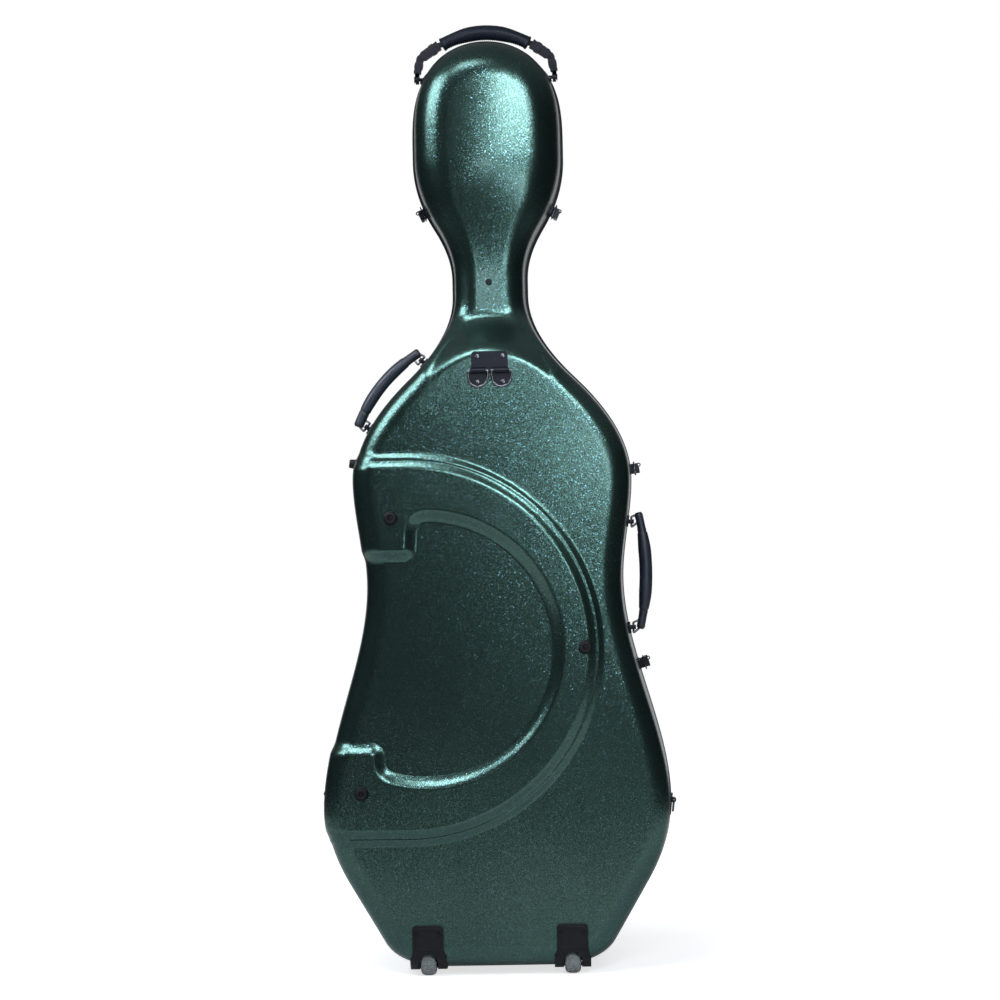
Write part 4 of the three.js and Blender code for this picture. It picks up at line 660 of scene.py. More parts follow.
class CelloCaseFinish(bpy.types.PropertyGroup):
    """Colours and grain of the case"""

    shell_colour: bpy.props.FloatVectorProperty(
        name="Shell", description="Lacquer under the flakes", subtype="COLOR", size=3, min=0, max=1,
        default=(0.049, 0.097, 0.079),
    )
    flake_colour: bpy.props.FloatVectorProperty(
        name="Flakes", description="Brightest metallic flakes in the lacquer", subtype="COLOR", size=3,
        min=0, max=1, default=(0.20, 0.34, 0.46),
    )
    flake_size: bpy.props.FloatProperty(
        name="Flake size", description="Width of one flake in millimetres", default=0.95, min=0.3, max=5,
    )
    flake_tilt: bpy.props.FloatProperty(
        name="Flake tilt", description="How far the flakes lean away from the surface", subtype="FACTOR",
        default=0.14, min=0, max=1,
    )
    grip_colour: bpy.props.FloatVectorProperty(
        name="Grips", description="Covering of the handles", subtype="COLOR", size=3, min=0, max=1,
        default=(0.008, 0.010, 0.018),
    )
    webbing_colour: bpy.props.FloatVectorProperty(
        name="Webbing", description="Woven straps", subtype="COLOR", size=3, min=0, max=1,
        default=(0.006, 0.006, 0.009),
    )
    stitch_colour: bpy.props.FloatVectorProperty(
        name="Stitching", description="Thread at the ends of the grips", subtype="COLOR", size=3,
        min=0, max=1, default=(0.10, 0.045, 0.035),
    )
    lining_colour: bpy.props.FloatVectorProperty(
        name="Lining", description="Plush inside the case", subtype="COLOR", size=3, min=0, max=1,
        default=(0.045, 0.047, 0.055),
    )
    metal_colour: bpy.props.FloatVectorProperty(
        name="Metal", description="Satin metal of the latches", subtype="COLOR", size=3, min=0, max=1,
        default=(0.19, 0.19, 0.20),
    )
    wheel_colour: bpy.props.FloatVectorProperty(
        name="Wheels", description="Translucent tread of the wheels", subtype="COLOR", size=3, min=0, max=1,
        default=(0.30, 0.32, 0.31),
    )


class CelloCaseSizes(bpy.types.PropertyGroup):
    """Sizes that leave the case's own solids as they are"""

    edge_softness: bpy.props.FloatProperty(
        name="Edge softness", description="Rounding of the metal edges in millimetres",
        default=0.35, min=0.05, max=1,
    )
    rib_spacing: bpy.props.FloatProperty(
        name="Grip ribs", description="Distance between the top grip's ribs in millimetres",
        default=3.2, min=1, max=6,
    )
    rib_height: bpy.props.FloatProperty(
        name="Rib height", description="Height of the ribs in millimetres", default=0.9, min=0, max=1.5,
    )
    padding: bpy.props.FloatProperty(
        name="Padding", description="How far the pads inside may swell in millimetres",
        default=3.0, min=0, max=8,
    )


def finishes():
    return bpy.context.scene.cello_case_finish


def sizes():
    return bpy.context.scene.cello_case_sizes


# Shader expressions

class Value:
    """A shader socket that Python's operators turn into Math nodes."""

    def __init__(self, finish, socket):
        self.finish, self.socket = finish, socket

    def math(self, operation, *values):
        return self.finish.node("ShaderNodeMath", {"operation": operation}, *values)

    def __add__(self, other):
        return self.math("ADD", self, other)

    def __sub__(self, other):
        return self.math("SUBTRACT", self, other)

    def __rsub__(self, other):
        return self.math("SUBTRACT", other, self)

    def __mul__(self, other):
        return self.math("MULTIPLY", self, other)

    __radd__ = __add__
    __rmul__ = __mul__


class Shading:
    """Adds nodes to the tree of a material or of the world."""

    def __init__(self, tree):
        self.tree = tree

    def feed(self, socket, value):
        if isinstance(value, Value):
            self.tree.links.new(socket, value.socket)
        elif socket.type == "RGBA" and len(value) == 3:
            socket.default_value = (*value, 1)
        else:
            socket.default_value = value

    def node(self, kind, settings, *values, output=0, **named_values):
        made = self.tree.nodes.new(kind)
        for key, value in settings.items():
            setattr(made, key, value)
        for socket, value in zip(made.inputs, values):
            self.feed(socket, value)
        for key, value in named_values.items():
            self.feed(made.inputs[key.replace("_", " ")], value)
        return Value(self, made.outputs[output])

    def part(self, vector, axis):
        return self.node("ShaderNodeSeparateXYZ", {}, vector, output=axis)

    def between(self, value, low, high):
        settings = {"interpolation_type": "SMOOTHSTEP"}
        return self.node("ShaderNodeMapRange", settings, value, low, high, 0.0, 1.0)

    def mix(self, share, low, high):
        """Mixes colours, whose sockets stand behind those for numbers and vectors."""
        made = self.tree.nodes.new("ShaderNodeMix")
        made.data_type = "RGBA"
        for socket, value in zip((made.inputs[0], made.inputs[6], made.inputs[7]), (share, low, high)):
            self.feed(socket, value)
        return Value(self, made.outputs[2])


class Finish(Shading):
    """A procedural material. What is the same all over goes straight on the shader's sockets."""

    def __init__(self, name, **constants):
        self.material = bpy.data.materials.new(name)
        self.material.use_nodes = True
        super().__init__(self.material.node_tree)
        self.shader = self.tree.nodes["Principled BSDF"]
        self.set(**constants)
        self.place = self.node("ShaderNodeTexCoord", {}, output="Object")

    def set(self, **values):
        for key, value in values.items():
            self.feed(self.shader.inputs[key.replace("_", " ")], value)

    def noise(self, size, detail, stretch=None):
        """Noise of a size in millimetres, from 0 to 1."""
        place = self.place
        if stretch:
            place = self.node("ShaderNodeMapping", {}, Vector=place, Scale=stretch)
        scale = 1 / (size * MM)
        return self.node("ShaderNodeTexNoise", {}, output="Fac", Vector=place, Scale=scale, Detail=detail)

    def cells(self, size, output="Color"):
        scale = 1 / (size * MM)
        return self.node("ShaderNodeTexVoronoi", {}, output=output, Vector=self.place, Scale=scale)

    def layer(self, key):
        return self.node("ShaderNodeAttribute", {"attribute_name": key}, output="Fac")

    def vector(self, operation, *values):
        return self.node("ShaderNodeVectorMath", {"operation": operation}, *values)

    def wave(self, value, spacing):
        """Ridges from 0 to 1, one for each spacing of a value."""
        turns = value * (2 * math.pi / spacing)
        return self.node("ShaderNodeMath", {"operation": "SINE"}, turns) * 0.5 + 0.5

    def bump(self, height, depth, under=None):
        """Relief of a depth in millimetres."""
        named_values = {"Strength": 1.0, "Distance": depth * MM, "Height": height}
        if under is not None:
            named_values["Normal"] = under
        return self.node("ShaderNodeBump", {}, **named_values)


def times(colour, factor):
    return tuple(factor * part for part in colour)


def shell_lacquer(name):
    """Dark metallic lacquer under a clear coat, whose flakes lean differently and so glint near a lamp."""
    look = finishes()
    paint = Finish(name, Metallic=0.94, Coat_Weight=0.16, Coat_Roughness=0.16, Coat_IOR=1.45, IOR=1.45)
    flake = paint.cells(look.flake_size)
    pick = paint.part(flake, 1)
    strong = 0.5 + 0.8 * pick * pick
    tilt = look.flake_tilt
    lean = paint.vector("MULTIPLY_ADD", flake, (tilt, tilt, tilt), (-tilt / 2,) * 3)
    lean = paint.node("ShaderNodeVectorMath", {"operation": "SCALE"}, lean, Scale=strong)
    surface = paint.node("ShaderNodeNewGeometry", {}, output="Normal")
    tilted = paint.vector("NORMALIZE", paint.vector("ADD", surface, lean))
    peel = paint.noise(2.6, 2.0)
    paint.set(Normal=paint.bump(peel, 0.010, tilted))
    bright = paint.between(pick, 0.80, 1.0)
    cloud = paint.between(paint.noise(130.0, 3.0), 0.3, 0.7)
    base = paint.mix(cloud, times(look.shell_colour, 0.86), tuple(look.shell_colour))
    paint.set(Base_Color=paint.mix(bright * 0.3, base, tuple(look.flake_colour)))
    scuff = paint.between(paint.noise(38.0, 5.0, (1.0, 1.0, 0.35)), 0.62, 0.78)
    paint.set(Roughness=0.27 - 0.07 * pick + 0.04 * scuff)
    return paint.material


def rubber(name, colour=(0.004, 0.004, 0.005), roughness=0.58):
    """Matt rubber with a fine grain and a little dust."""
    look = Finish(name, IOR=1.3)
    grain = look.noise(0.5, 2.0)
    dust = look.between(look.noise(14.0, 4.0), 0.52, 0.85)
    look.set(Base_Color=look.mix(dust * 0.14, colour, (0.03, 0.03, 0.03)))
    look.set(Roughness=roughness + 0.14 * dust, Normal=look.bump(grain, 0.03))
    return look.material


def moulded_plastic(name):
    """Black moulded plastic with a spark-eroded grain, rubbed smoother here and there."""
    look = Finish(name, IOR=1.3)
    grain = look.cells(0.7, "Distance")
    rub = look.between(look.noise(11.0, 3.0), 0.45, 0.75)
    look.set(Base_Color=look.mix(rub * 0.35, (0.005, 0.005, 0.006), (0.009, 0.010, 0.013)))
    look.set(Roughness=0.44 - 0.12 * rub, Normal=look.bump(grain, 0.04))
    return look.material


def satin_metal(name, colour, roughness, painted=False):
    """Metal with a faint grain; painted metal shows through where it is rubbed."""
    look = Finish(name, Metallic=0.25 if painted else 1.0, IOR=1.3)
    lines = look.noise(0.5, 3.0, (1.0, 1.0, 0.08))
    worn = look.between(look.noise(5.0, 5.0), 0.60, 0.80)
    rubbed = (0.03, 0.032, 0.038) if painted else times(colour, 1.5)
    look.set(Base_Color=look.mix(worn * (0.35 if painted else 0.5), colour, rubbed))
    look.set(Roughness=roughness + 0.12 * lines - 0.06 * worn, Normal=look.bump(lines, 0.012))
    return look.material


def plush(name, colour):
    """Short pile that catches light at a slant, with brushed patches."""
    look = Finish(name, Sheen_Weight=0.7, Sheen_Roughness=0.4, Sheen_Tint=(0.45, 0.47, 0.55, 1), IOR=1.4)
    pile = look.noise(0.9, 3.0)
    brushed = look.between(look.noise(34.0, 3.0, (1.0, 1.0, 0.5)), 0.35, 0.70)
    look.set(Base_Color=look.mix(brushed, times(colour, 0.7), times(colour, 1.7)))
    look.set(Roughness=0.86 + 0.1 * brushed, Normal=look.bump(pile, 0.35))
    return look.material


def woven(name, colour):
    """Webbing: ribs across its run, broken by the warp along it."""
    look = Finish(name, Sheen_Weight=0.35, Sheen_Roughness=0.35, IOR=1.45)
    run = look.layer("run")
    across = look.part(look.place, 1) * (1 / MM)
    weft = look.wave(run, 1.5)
    warp = look.wave(across + weft * 0.3, 1.1)
    weave = weft * 0.65 + warp * 0.35
    fuzz = look.noise(0.35, 2.0)
    # The colour follows the weave's relief: painted shade in the grooves between the threads and painted
    # light on their tops.
    look.set(Base_Color=look.mix(weave, times(colour, 0.45), times(colour, 2.6)))
    look.set(Roughness=0.70 + 0.2 * fuzz, Normal=look.bump(weave + fuzz * 0.3, 0.28))
    return look.material


def grained_leather(name, colour):
    """Leathercloth with pebbled grain, polished smoother by hands in patches."""
    look = Finish(name, IOR=1.5)
    pebble = look.cells(1.1, "Distance")
    crease = look.noise(4.0, 4.0)
    polish = look.between(look.noise(18.0, 2.0), 0.40, 0.70)
    look.set(Base_Color=look.mix(crease, times(colour, 0.7), times(colour, 2.0)))
    look.set(Roughness=0.50 - 0.14 * polish, Normal=look.bump(pebble + crease * 0.6, 0.10))
    return look.material


def thread(name, colour):
    """Twisted thread with a dull sheen."""
    look = Finish(name, IOR=1.45)
    twist = look.noise(0.4, 2.0, (1.0, 3.0, 1.0))
    look.set(Base_Color=look.mix(twist, times(colour, 0.5), times(colour, 1.8)))
    look.set(Roughness=0.7 + 0.1 * twist, Normal=look.bump(twist, 0.1))
    return look.material


def clear_tread(name, colour):
    """Smoky urethane, a little cloudy, with scuffs from the floor."""
    look = Finish(name, IOR=1.48, Transmission_Weight=0.45)
    cloud = look.noise(5.0, 3.0)
    scuff = look.between(look.noise(1.6, 4.0, (0.3, 1.0, 1.0)), 0.52, 0.70)
    look.set(Base_Color=look.mix(cloud, times(colour, 0.8), times(colour, 1.25)))
    look.set(Roughness=0.16 + 0.3 * scuff, Normal=look.bump(cloud, 0.05))
    return look.material


def kept(name, make, *values, **named_values):
    """One material for all pieces that share a finish."""
    return bpy.data.materials.get(name) or make(name, *values, **named_values)


def black_metal():
    return kept("lacquered_black_metal", satin_metal, (0.006, 0.007, 0.011), roughness=0.30, painted=True)


def grey_metal():
    return kept("satin_grey_metal", satin_metal, tuple(finishes().metal_colour), roughness=0.27)


def bright_wire():
    return kept("bright_wire", satin_metal, (0.13, 0.13, 0.14), roughness=0.16)


def black_plastic():
    return kept("moulded_black_plastic", moulded_plastic)


def black_rubber():
    return kept("black_rubber", rubber)


def lining_plush():
    return kept("lining_plush", plush, tuple(finishes().lining_colour))


def grip_leather():
    return kept("grip_leather", grained_leather, tuple(finishes().grip_colour))


def grip_rubber():
    return kept("grip_rubber", rubber, colour=tuple(finishes().grip_colour), roughness=0.42)


def stitch_thread():
    return kept("stitch_thread", thread, tuple(finishes().stitch_colour))


# Trays: the walls, rounded edge and crowned plateau of a shell or a lining

def lap_place(i, j, rows, columns):
    """Where a grid point of row i and column j lies along the outline, or -1 inside it."""
    if i == 0:
        return j
    if j == columns:
        return columns + i
    if i == rows:
        return 2 * columns + rows - j
    if j == 0:
        return 2 * (columns + rows) - i
    return -1


def tray_grid(name, columns, rows, rings):
    """A grid whose border is extruded ring after ring, with the place of each point marked on it."""
    deselect()
    bpy.ops.mesh.primitive_grid_add(x_subdivisions=columns, y_subdivisions=rows)
    piece = named(name)
    bpy.ops.object.mode_set(mode="EDIT")
    bpy.ops.mesh.select_mode(type="EDGE")
    grid = bmesh.from_edit_mesh(piece.data)
    for key in TRAY_MARKS:
        grid.verts.layers.int.new(key)
    lap_of, row_of, column_of = (grid.verts.layers.int[key] for key in ("lap", "row", "column"))
    for vertex in grid.verts:
        i = round((vertex.co.y + 1) / 2 * rows)
        j = round((vertex.co.x + 1) / 2 * columns)
        vertex[row_of], vertex[column_of] = i, j
        vertex[lap_of] = lap_place(i, j, rows, columns)
    for edge in grid.edges:
        edge.select_set(edge.is_boundary)
    bmesh.update_edit_mesh(piece.data)
    for k in range(rings):
        bpy.ops.mesh.extrude_edges_move()
        mark_ring(piece, k + 1)
    bpy.ops.object.mode_set(mode="OBJECT")
    return piece


def tray_rings(outline, floor_at, facing, skin, rim, band, edge_rings):
    """The places of every ring, from the floor's border round the edge and down the wall to the rim."""
    rounding = edge_radius(outline[:, 1])
    radius = rounding - skin

    def floor_inside(distance):
        return floor_at(*inset(outline, skin + DRAFT * down + distance).T)

    down = floor_at(*inset(outline, skin + rounding).T) - radius
    for _ in range(3):
        lean = np.arctan(np.clip(floor_inside(radius + 1.0) - floor_inside(radius), 0, 0.3))
        down = floor_inside(radius * (1 - np.sin(lean))) - radius * np.cos(lean)
    places = []
    for k in range(edge_rings + WALL_RINGS + 1):
        if k <= edge_rings:
            angle = (math.pi / 2 - lean) * (1 - k / edge_rings)
            across = radius * (1 - np.cos(angle))
            depth = down + radius * np.sin(angle)
            inward = down
        else:
            across = 0
            depth = blend(down, rim, (k - edge_rings) / WALL_RINGS)
            inward = depth
        flat = inset(outline, skin + DRAFT * inward + across)
        if band:
            rise = band_rise(*inside_band(flat[:, 0], flat[:, 1]))
            draft = blend(DRAFT, BAND_DRAFT, rise / BAND_HEIGHT)
            tall = np.clip((depth - rim) / (down - rim), 0, 1)
            depth = depth + rise * tall
            flat = inset(outline, skin + draft * inward + across)
        places.append(np.column_stack([flat[:, 0], facing * depth, flat[:, 1]]))
    return np.array(places)


def tray_floor(border, row, column, rows, columns):
    """Where the floor's inner points lie: in rows from side to side that bend up towards the head's cap."""
    left, right = border[len(border) - row], border[columns + row]
    x = blend(left[:, 0], right[:, 0], column / columns)
    head_end = border[columns + rows, 2]
    cap = border[columns + rows + (columns - np.arange(1, columns))][:, 2]
    lift = smooth(right[:, 2], head_end - HEAD_CAP, head_end)
    return x, right[:, 2] + lift * (cap[column - 1] - head_end)


def tray(name, depth_at, facing, columns, step, skin=0.0, rim=0.0, band=False, fine=ROW_STEP,
         fine_heights=(), edge_rings=EDGE_RINGS):
    """The walls, rounded edge and crowned floor of a shell or a lining, open at the seam."""
    side = side_points(step, fine, fine_heights)
    rows = len(side) - 1
    outline = seam_outline(side, columns)
    piece = tray_grid(name, columns, rows, edge_rings + WALL_RINGS)
    mesh = piece.data

    def floor_at(x, height):
        return depth_at(x, height) - skin * steepness(depth_at, x, height)

    rings = tray_rings(outline, floor_at, facing, skin, rim, band, edge_rings)
    lap, ring, row, column = (read_layer(mesh, key) for key in TRAY_MARKS)
    place = np.zeros((len(mesh.vertices), 3))
    on_ring = lap >= 0
    place[on_ring] = rings[ring[on_ring], lap[on_ring]]
    x, height = tray_floor(rings[0], row[~on_ring], column[~on_ring], rows, columns)
    depth = floor_at(x, height)
    if band:
        depth = depth + band_rise(*inside_band(x, height))
    place[~on_ring] = np.column_stack([x, facing * depth, height])
    set_coordinates(mesh, place)
    if band:
        refine_band(piece, floor_at, facing)
    for key in TRAY_MARKS:
        mesh.attributes.remove(mesh.attributes[key])
    turn(piece, at(0, 0, SHELL_FOOT))
    if sum(face.normal.y * face.area for face in mesh.polygons) * facing < 0:
        bpy.ops.object.mode_set(mode="EDIT")
        bpy.ops.mesh.select_all(action="SELECT")
        bpy.ops.mesh.flip_normals()
        bpy.ops.object.mode_set(mode="OBJECT")
    return piece


def refine_band(piece, floor_at, facing):
    """Divides the faces along the band's edge and lays the new points on its exact form."""
    mesh = piece.data
    bpy.ops.object.mode_set(mode="EDIT")
    bpy.ops.mesh.select_mode(type="FACE")
    grid = bmesh.from_edit_mesh(mesh)
    ring_of = grid.verts.layers.int["ring"]
    faces = [face for face in grid.faces if all(vertex[ring_of] == 0 for vertex in face.verts)]
    centres = np.array([face.calc_center_median() for face in faces])
    near = np.abs(inside_band(centres[:, 0], centres[:, 2])[0] - BAND_MIDDLE) < BAND_NEAR
    bpy.ops.mesh.select_all(action="DESELECT")
    for face, chosen in zip(faces, near):
        face.select_set(bool(chosen))
    bmesh.update_edit_mesh(mesh)
    bpy.ops.mesh.subdivide(number_cuts=BAND_CUTS, quadcorner="INNERVERT")
    bpy.ops.object.mode_set(mode="OBJECT")
    place = coordinates(mesh)
    flat = read_layer(mesh, "ring") == 0
    x, height = place[flat, 0], place[flat, 2]
    place[flat, 1] = facing * (floor_at(x, height) + band_rise(*inside_band(x, height)))
    set_coordinates(mesh, place)


def filled(piece):
    """Closes a tray's open side, so that it can be a volume to cut with."""
    only(piece)
    bpy.ops.object.mode_set(mode="EDIT")
    bpy.ops.mesh.select_mode(type="EDGE")
    bpy.ops.mesh.select_all(action="DESELECT")
    bpy.ops.mesh.select_non_manifold(extend=False)
    bpy.ops.mesh.edge_face_add()
    bpy.ops.mesh.select_all(action="SELECT")
    bpy.ops.mesh.normals_make_consistent(inside=False)
    bpy.ops.object.mode_set(mode="OBJECT")
    return piece


def x_rod(middle, y, z, half, radius, sides):
    """A rod along X."""
    return rod((middle - half, y, z), (middle + half, y, z), radius, sides)


def drum_at(side, radius, half):
    """A cylinder round a wheel's axle."""
    return from_seam(x_rod(side * WHEEL_X, WHEEL_Y, WHEEL_Z, half, radius, 64))


def well(side, wall=0.0):
    """The space that a wheel turns in, or its outside where a wall is given."""
    return drum_at(side, WELL_RADIUS + wall, WELL_HALF + wall)


def neck_bore(depth, radius):
    """The hole for the neck's screw, from outside the back to a depth below the seam."""
    return from_seam(rod((0, -110, NECK_SCREW_Z), (0, -depth, NECK_SCREW_Z), radius))


def hinge_point(height):
    """The point of the lid's hinge line at a height, and the line's direction."""
    lid = JOINTS["lid_hinge"]
    point, along = Vector(lid["pos_m"]) / MM, Vector(lid["axis"])
    return point + along * ((SHELL_FOOT + height - point.z) / along.z), along


def hinge_rod(height, radius, half):
    point, along = hinge_point(height)
    return rod(point - along * half, point + along * half, radius)


def notch_hinges(piece):
    play = 0.5
    return cut(piece, *[
        hinge_rod(height, HINGE_RADIUS + play, HINGE_HALF + play) for height in HINGES.values()
    ])


class CELLOCASE_OT_shells(bpy.types.Operator):
    """Both shells, with the band on the back, the wheel wells and the notches for the hinges"""

    bl_idname = "cello_case.shells"
    bl_label = "Shells"

    def execute(self, context):
        centre, radius = BAND_CENTRE[1], BAND_RADIUS
        heights = (centre - radius, centre + radius, TABS[0][1], TABS[1][1], *ARCH_HEIGHTS)
        back = tray("back_shell", back_depth, -1, COLUMNS, ROW_STEP, rim=3.0, band=True, fine=FINE_STEP,
                    fine_heights=heights)
        front = tray("front_shell", lid_depth, 1, 44, 9.0, rim=1.0)
        for piece in (back, front):
            apply_modifier(piece, "SOLIDIFY", thickness=WALL, offset=-1, use_even_offset=True)
        for side in (LEFT, RIGHT):
            inside = filled(tray("part", back_depth, -1, 24, 12.0, skin=WALL / 2, rim=3.0, edge_rings=10))
            cup = overlap(cut(well(side, WALL), well(side)), inside)
            back = unite(cut(back, well(side)), cup)
        back = cut(back, neck_bore(80, 2.7))
        settle(notch_hinges(back), "back_shell", kept("back_lacquer", shell_lacquer), "case_base",
               "base_shell", smoothing=40)
        settle(notch_hinges(front), "front_shell", kept("front_lacquer", shell_lacquer), "lid",
               "lid_shell", smoothing=40)
        return {"FINISHED"}


class CELLOCASE_OT_seal(bpy.types.Operator):
    """Rubber bead in the seam, standing further out along the neck and head"""

    bl_idname = "cello_case.seal"
    bl_label = "Seal"

    def execute(self, context):
        outline = seam_outline(side_points(7.0), 24)
        proud = blend(0.8, 3.0, smooth(outline[:, 1], ARCH_CENTRE, STATIONS[5][0]))
        profile = [
            (-5.0, -2.7), (-5.0, 0.7), (-0.4, 0.7), (0.35, 0.62), (0.8, 0.3), (1.0, -0.3), (1.0, -1.0),
            (0.95, -1.7), (0.75, -2.3), (0.3, -2.62), (-0.4, -2.7),
        ]
        rings = []
        for out, depth in profile:
            ring = inset(outline, -out * proud if out > 0 else np.full(len(outline), -out))
            level = np.full(len(ring), depth + SEAM_Y)
            rings.append(np.column_stack([ring[:, 0], level, ring[:, 1] + SHELL_FOOT]))
        bead = notch_hinges(loft(rings, closed=True))
        settle(bead, "seal_bead", black_rubber(), "case_base", "rim_seal")
        return {"FINISHED"}


# Wheels and brackets

def cross_head(radius, depth=1.0, sides=32):
    """A countersunk screw with a cross recess, its face on the plane z = 0 and its body below."""
    screw = turned([
        (radius * 0.8, -1.6), (radius, -0.7), (radius, -0.35), (radius * 0.93, -0.08), (radius * 0.8, 0.0),
        (radius * 0.4, 0.06),
    ], sides)
    arm, half = radius * 0.58, radius * 0.13
    for low, high in (((-arm, -half), (arm, half)), ((-half, -arm), (half, arm))):
        screw = cut(screw, block((*low, -depth), (*high, 1.0)))
    return screw


FACING_BACK = Matrix.Rotation(math.pi / 2, 4, "X")
FACING_SIDE = Matrix.Rotation(math.pi / 2, 4, "Y")

BRACKET_TOP = 64.5
BRACKET_UNDER = 58.0
BRACKET_THICKNESS = 3.9
BRACKET_HALF = 25.0
BRACKET_WAIST = 25.0
BRACKET_ARCH_HALF, BRACKET_ARCH_TOP = 12.4, 22.0
BRACKET_SCREWS_X, BRACKET_SCREWS_Z = (-15.5, 15.5), 59.0
EAR_X, EAR_HALF, EAR_RADIUS = 13.9, 1.4, 20.6


def bracket_profile(offset, steps=24):
    """The back, rounded edge and bottom beside a wheel, as (y, z) points offset outwards."""
    floor = float(back_depth(np.array(WHEEL_X), np.array(BRACKET_TOP)))
    wall_top = floor - EDGE_RADIUS
    centre = (-wall_top, SHELL_FOOT + DRAFT * wall_top + EDGE_RADIUS)
    angle = np.linspace(0, math.pi / 2, steps + 1)
    reach = EDGE_RADIUS + offset
    curve = np.column_stack([centre[0] - reach * np.cos(angle), centre[1] - reach * np.sin(angle)])
    end = (BRACKET_UNDER - floor, centre[1] - reach - DRAFT * (BRACKET_UNDER - EDGE_RADIUS))
    return np.vstack([[(-floor - offset, SHELL_FOOT + BRACKET_TOP)], curve, [end]])


def along_x(section, half):
    """A section of (y, z) points given a width along X, with its depths from the seam."""
    return from_seam(loft([np.column_stack([np.full(len(section), x), section]) for x in (-half, half)]))


def wheel_bracket():
    """A moulded plate round the lower back edge, with an arch for the wheel and ears for its axle."""
    outer, inner = bracket_profile(BRACKET_THICKNESS), bracket_profile(-0.6)
    plate = along_x(np.vstack([outer, inner[::-1]]), BRACKET_HALF)
    top, waist = SHELL_FOOT + BRACKET_TOP, SHELL_FOOT + BRACKET_WAIST
    share = np.linspace(0, 1, 9)[:, None]
    narrow = BRACKET_HALF - 3.5
    flare = (
        (1 - share) ** 2 * (BRACKET_HALF, waist - 6) + 2 * share * (1 - share) * (narrow, waist)
        + share**2 * (narrow, waist + 6)
    )
    side = np.vstack([[(BRACKET_HALF, 0.0)], flare, arc((narrow - 6, top - 6), 6.0, 0, 90, 9)])
    front = np.vstack([side, side[::-1] * (-1, 1)])
    plate = overlap(plate, slab(front, -170.0, 10.0))
    half, height = BRACKET_ARCH_HALF, SHELL_FOOT + BRACKET_ARCH_TOP
    arch = np.vstack([
        [(half, -8.0), (half, height - 7)], arc((0, height - 9), half, 12, 168, 14),
        [(-half, height - 7), (-half, -8.0)],
    ])
    plate = cut(plate, from_seam(slab(arch, -180.0, WHEEL_Y + WELL_RADIUS)))
    plate = round_edges(plate, 0.7, 3)
    frame_outer = rounded(37.0, 30.0, 5.0, (0.0, SHELL_FOOT + 46.0), 5)
    frame_inner = rounded(33.0, 26.0, 3.6, (0.0, SHELL_FOOT + 46.0), 5)
    floor = outer[0, 0] + SEAM_Y
    rib = cut(slab(frame_outer, floor - 0.7, floor + 1.0), slab(frame_inner, floor - 2.0, floor + 2.0))
    plate = unite(plate, round_edges(rib, 0.3, 2))
    z = BRACKET_SCREWS_Z
    for x in BRACKET_SCREWS_X:
        plate = cut(plate, rod((x, floor - 4, z), (x, floor + 0.9, z), 3.5, 32))
    for end in (-1, 1):
        ear = from_seam(x_rod(end * EAR_X, WHEEL_Y, WHEEL_Z, EAR_HALF, EAR_RADIUS, 64))
        plate = unite(plate, round_edges(overlap(ear, bracket_fill()), 0.4, 2))
    return plate


def bracket_fill():
    """The space between the bracket's plate and the shell, which the ears stay in."""
    inner = bracket_profile(1.0)
    corner = [(inner[-1, 0], inner[0, 1])]
    return along_x(np.vstack([inner, corner]), 20.0)


def wheel_body():
    """Tyre with fine grooves round its tread, open hub and domed sides, turned round X."""
    tread = []
    for k, y in enumerate(np.linspace(-7.2, 7.2, 25)):
        groove = 0.45 if k % 4 == 2 else 0.0
        tread.append((19.98 - 1.2 * abs(y / 7.2) ** 3 - groove, y))
    side = [
        (18.0, 8.6), (16.6, 9.9), (14.2, 10.8), (12.6, 11.0), (9.0, 10.4), (7.4, 11.0), (6.2, 11.7),
        (3.4, 11.7),
    ]
    profile = [(r, -y) for r, y in reversed(side)] + tread + side
    return turn(turned(profile, 72, closed=True), FACING_SIDE)


class CELLOCASE_OT_wheels(bpy.types.Operator):
    """Wheels, their brackets with axles, and the screws"""

    bl_idname = "cello_case.wheels"
    bl_label = "Wheels"

    def execute(self, context):
        plate, wheel, screw = wheel_bracket(), wheel_body(), cross_head(3.3)
        turn(screw, FACING_BACK)
        face = bracket_profile(BRACKET_THICKNESS)[0, 0] + 0.55
        tread = kept("wheel_tread", clear_tread, tuple(finishes().wheel_colour))
        for name, side in SIDES.items():
            axle = at(side * WHEEL_X, WHEEL_Y, WHEEL_Z)
            settle(twin(plate), f"bracket_{name}", black_plastic(), "case_base", f"wheel_bracket_{name}",
                   moved(side * WHEEL_X, 0, 0))
            settle(twin(wheel), f"tyre_{name}", tread, f"wheel_{name}", f"wheel_{name}", axle)
            hub = turned([(3.45, -11.0), (5.2, -11.2), (5.2, 11.2), (3.45, 11.0)], 40, closed=True)
            settle(turn(hub, FACING_SIDE), f"hub_{name}", black_plastic(), f"wheel_{name}", place=axle)
            pin = round_edges(rod((-15.6, 0, 0), (15.6, 0, 0), 2.95, 32), 0.4)
            settle(pin, f"axle_{name}", grey_metal(), "case_base", place=axle)
            for k, x in enumerate(BRACKET_SCREWS_X):
                settle(twin(screw), f"bracket_screw_{name}_{k + 1}", black_metal(), "case_base",
                       place=at(side * WHEEL_X + x, face, BRACKET_SCREWS_Z))
        for piece in (plate, wheel, screw):
            bpy.data.objects.remove(piece)
        return {"FINISHED"}


# Feet

def foot_body(radius, reach):
    """A turned rubber foot standing on z = 0, with a flange, a waist and a hollow tip."""
    recess = 4.0
    tip = radius - 2.0
    return turned([
        (radius * 0.3, 0.0), (radius - 0.4, 0.0), (radius, 0.4), (radius, reach * 0.30),
        (radius - 0.35, reach * 0.36), (radius - 1.0, reach * 0.42), (tip + 0.15, reach - 1.1),
        (tip - 0.3, reach - 0.35), (tip - 1.0, reach), (recess + 0.7, reach), (recess, reach - 0.6),
        (recess, reach - 2.4), (recess * 0.3, reach - 2.4),
    ], 48)


